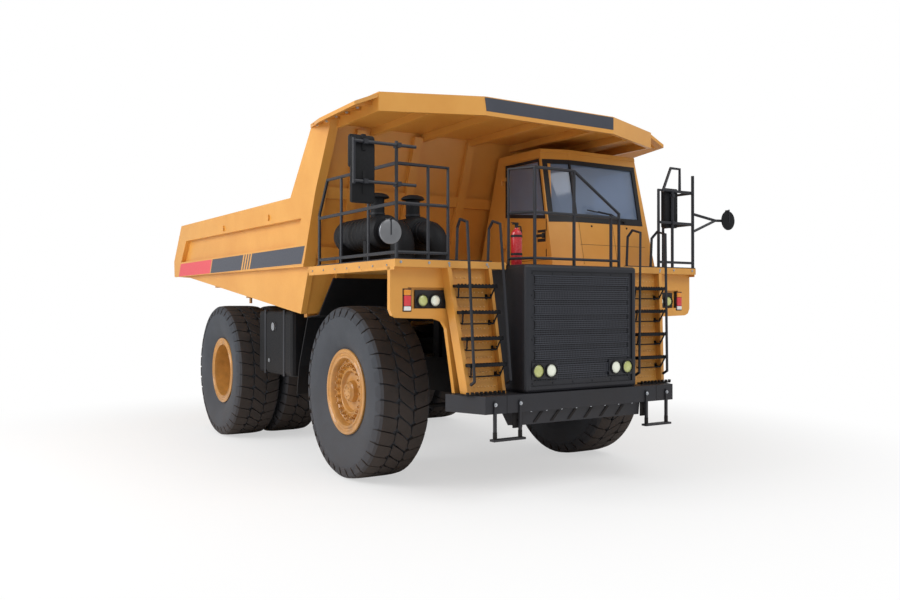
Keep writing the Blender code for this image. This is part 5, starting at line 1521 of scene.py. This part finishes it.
# ---------------------------------------------------------------- studio
@dataclass
class Studio:
    """Pale floor, soft lamps and the camera.

    Attributes:
        eye: Place of the camera.
        turn: Its turn to the left, in degrees.
        tilt: Its tilt above level, in degrees.
        lens_mm: Focal length on a 36 mm sensor.
        key: Watts of the big soft lamp on the right of the truck.
        sky: Strength of the even light from all round.
    """
    eye: Point = (-6.672, -12.102, 2.156)
    turn: float = -32.64
    tilt: float = 0.35
    lens_mm: float = 34.27
    key: float = 1350.0
    sky: float = 0.58

    def floor(self) -> None:
        """Make the pale floor, which fades to plain white well away from the truck."""
        bm = bmesh.new()
        bmesh.ops.create_circle(bm, cap_ends=True, segments=64, radius=160.0)
        mesh = bpy.data.meshes.new("floor")
        bm.to_mesh(mesh)
        bm.free()
        material = bpy.data.materials.new("pale_studio_floor")
        material.use_nodes = True
        tree = material.node_tree
        shader = tree.nodes["Principled BSDF"]
        shader.inputs["Base Color"].default_value = (0.95, 0.95, 0.95, 1.0)
        shader.inputs["Roughness"].default_value = 0.9
        shader.inputs["Specular IOR Level"].default_value = 0.1
        place = add_node(tree, "ShaderNodeTexCoord").outputs["Object"]
        away = add_node(tree, "ShaderNodeVectorMath", {0: place}, operation="LENGTH").outputs["Value"]
        fade = add_node(tree, "ShaderNodeMapRange", {"Value": away, "From Min": 4.5, "From Max": 9.0,
                                                     "To Min": 0.55},
                        interpolation_type="SMOOTHSTEP")
        seen = add_node(tree, "ShaderNodeLightPath").outputs["Is Camera Ray"]
        share = add_node(tree, "ShaderNodeMath", {0: fade.outputs[0], 1: seen}, operation="MULTIPLY")
        white = add_node(tree, "ShaderNodeEmission", {"Color": (1, 1, 1, 1), "Strength": 1.0})
        mix = add_node(tree, "ShaderNodeMixShader", {0: share.outputs[0], 1: shader.outputs[0], 2: white.outputs[0]})
        tree.links.new(mix.outputs[0], tree.nodes["Material Output"].inputs["Surface"])
        mesh.materials.append(material)
        floor = bpy.data.objects.new("floor", mesh)
        floor.location.z = -0.002
        bpy.context.scene.collection.objects.link(floor)

    def world(self) -> None:
        """Light the truck evenly, and show white behind it."""
        world = bpy.data.worlds.new("studio")
        bpy.context.scene.world = world
        world.use_nodes = True
        tree = world.node_tree
        path = add_node(tree, "ShaderNodeLightPath").outputs["Is Camera Ray"]
        lit = add_node(tree, "ShaderNodeBackground", {"Color": (1.0, 0.99, 0.98, 1.0), "Strength": self.sky})
        white = add_node(tree, "ShaderNodeBackground", {"Color": (1, 1, 1, 1), "Strength": 1.0})
        mix = add_node(tree, "ShaderNodeMixShader", {0: path, 1: lit.outputs[0], 2: white.outputs[0]})
        tree.links.new(mix.outputs[0], tree.nodes["World Output"].inputs["Surface"])

    def lamp(self, name: str, place: Point, size: float, power: float, aim: Point = (0, 0, 1.8)) -> None:
        """Hang one square soft lamp.

        Args:
            name: Name of the lamp.
            place: Where it hangs.
            size: Length of its side.
            power: Watts.
            aim: Point that it faces.
        """
        light = bpy.data.lights.new(name, "AREA")
        light.energy, light.size = power, size
        lamp = bpy.data.objects.new(name, light)
        lamp.location = place
        lamp.rotation_euler = (Vector(aim) - Vector(place)).to_track_quat("-Z", "Y").to_euler()
        bpy.context.scene.collection.objects.link(lamp)

    def camera(self) -> None:
        """Put the camera at its place."""
        data = bpy.data.cameras.new("camera")
        data.lens, data.sensor_width = self.lens_mm, 36.0
        data.clip_end = 500.0
        camera = bpy.data.objects.new("camera", data)
        camera.location = self.eye
        camera.rotation_euler = (math.radians(90 + self.tilt), 0.0,
                                 math.radians(self.turn))
        bpy.context.scene.collection.objects.link(camera)
        bpy.context.scene.camera = camera

    def make(self) -> None:
        """Set up floor, lamps and camera."""
        self.floor()
        self.world()
        self.lamp("key", (-14.0, 0.0, 8.5), 9.0, self.key)
        self.lamp("fill", (2.0, -12.0, 12.0), 7.0, self.key * 0.40)
        self.camera()
        bpy.context.scene.view_settings.view_transform = "Standard"


def clear_start() -> None:
    """Remove the objects of the start-up scene."""
    for old in list(bpy.data.objects):
        bpy.data.objects.remove(old, do_unlink=True)


def dress_cad(nodes: dict[str, bpy.types.Object]) -> None:
    """Give every CAD node its finish.

    Args:
        nodes: The frame's node objects by name.
    """
    for finish, names in CAD_FINISHES.items():
        for name in names:
            node = nodes[name]
            node.data.materials.clear()
            node.data.materials.append(finish.material())


def main() -> None:
    """Build the looks in order."""
    clear_start()
    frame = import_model()
    dress_cad(frame["nodes"])
    for part in (Tyre(), Rims(), Radiator(), Bumper(), Fenders(), Deck(), Cab(), DumpBody(), Underneath()):
        part.make()
        LOG.info("%s done", type(part).__name__)
    Studio().make()


if __name__ == "__main__":
    main()
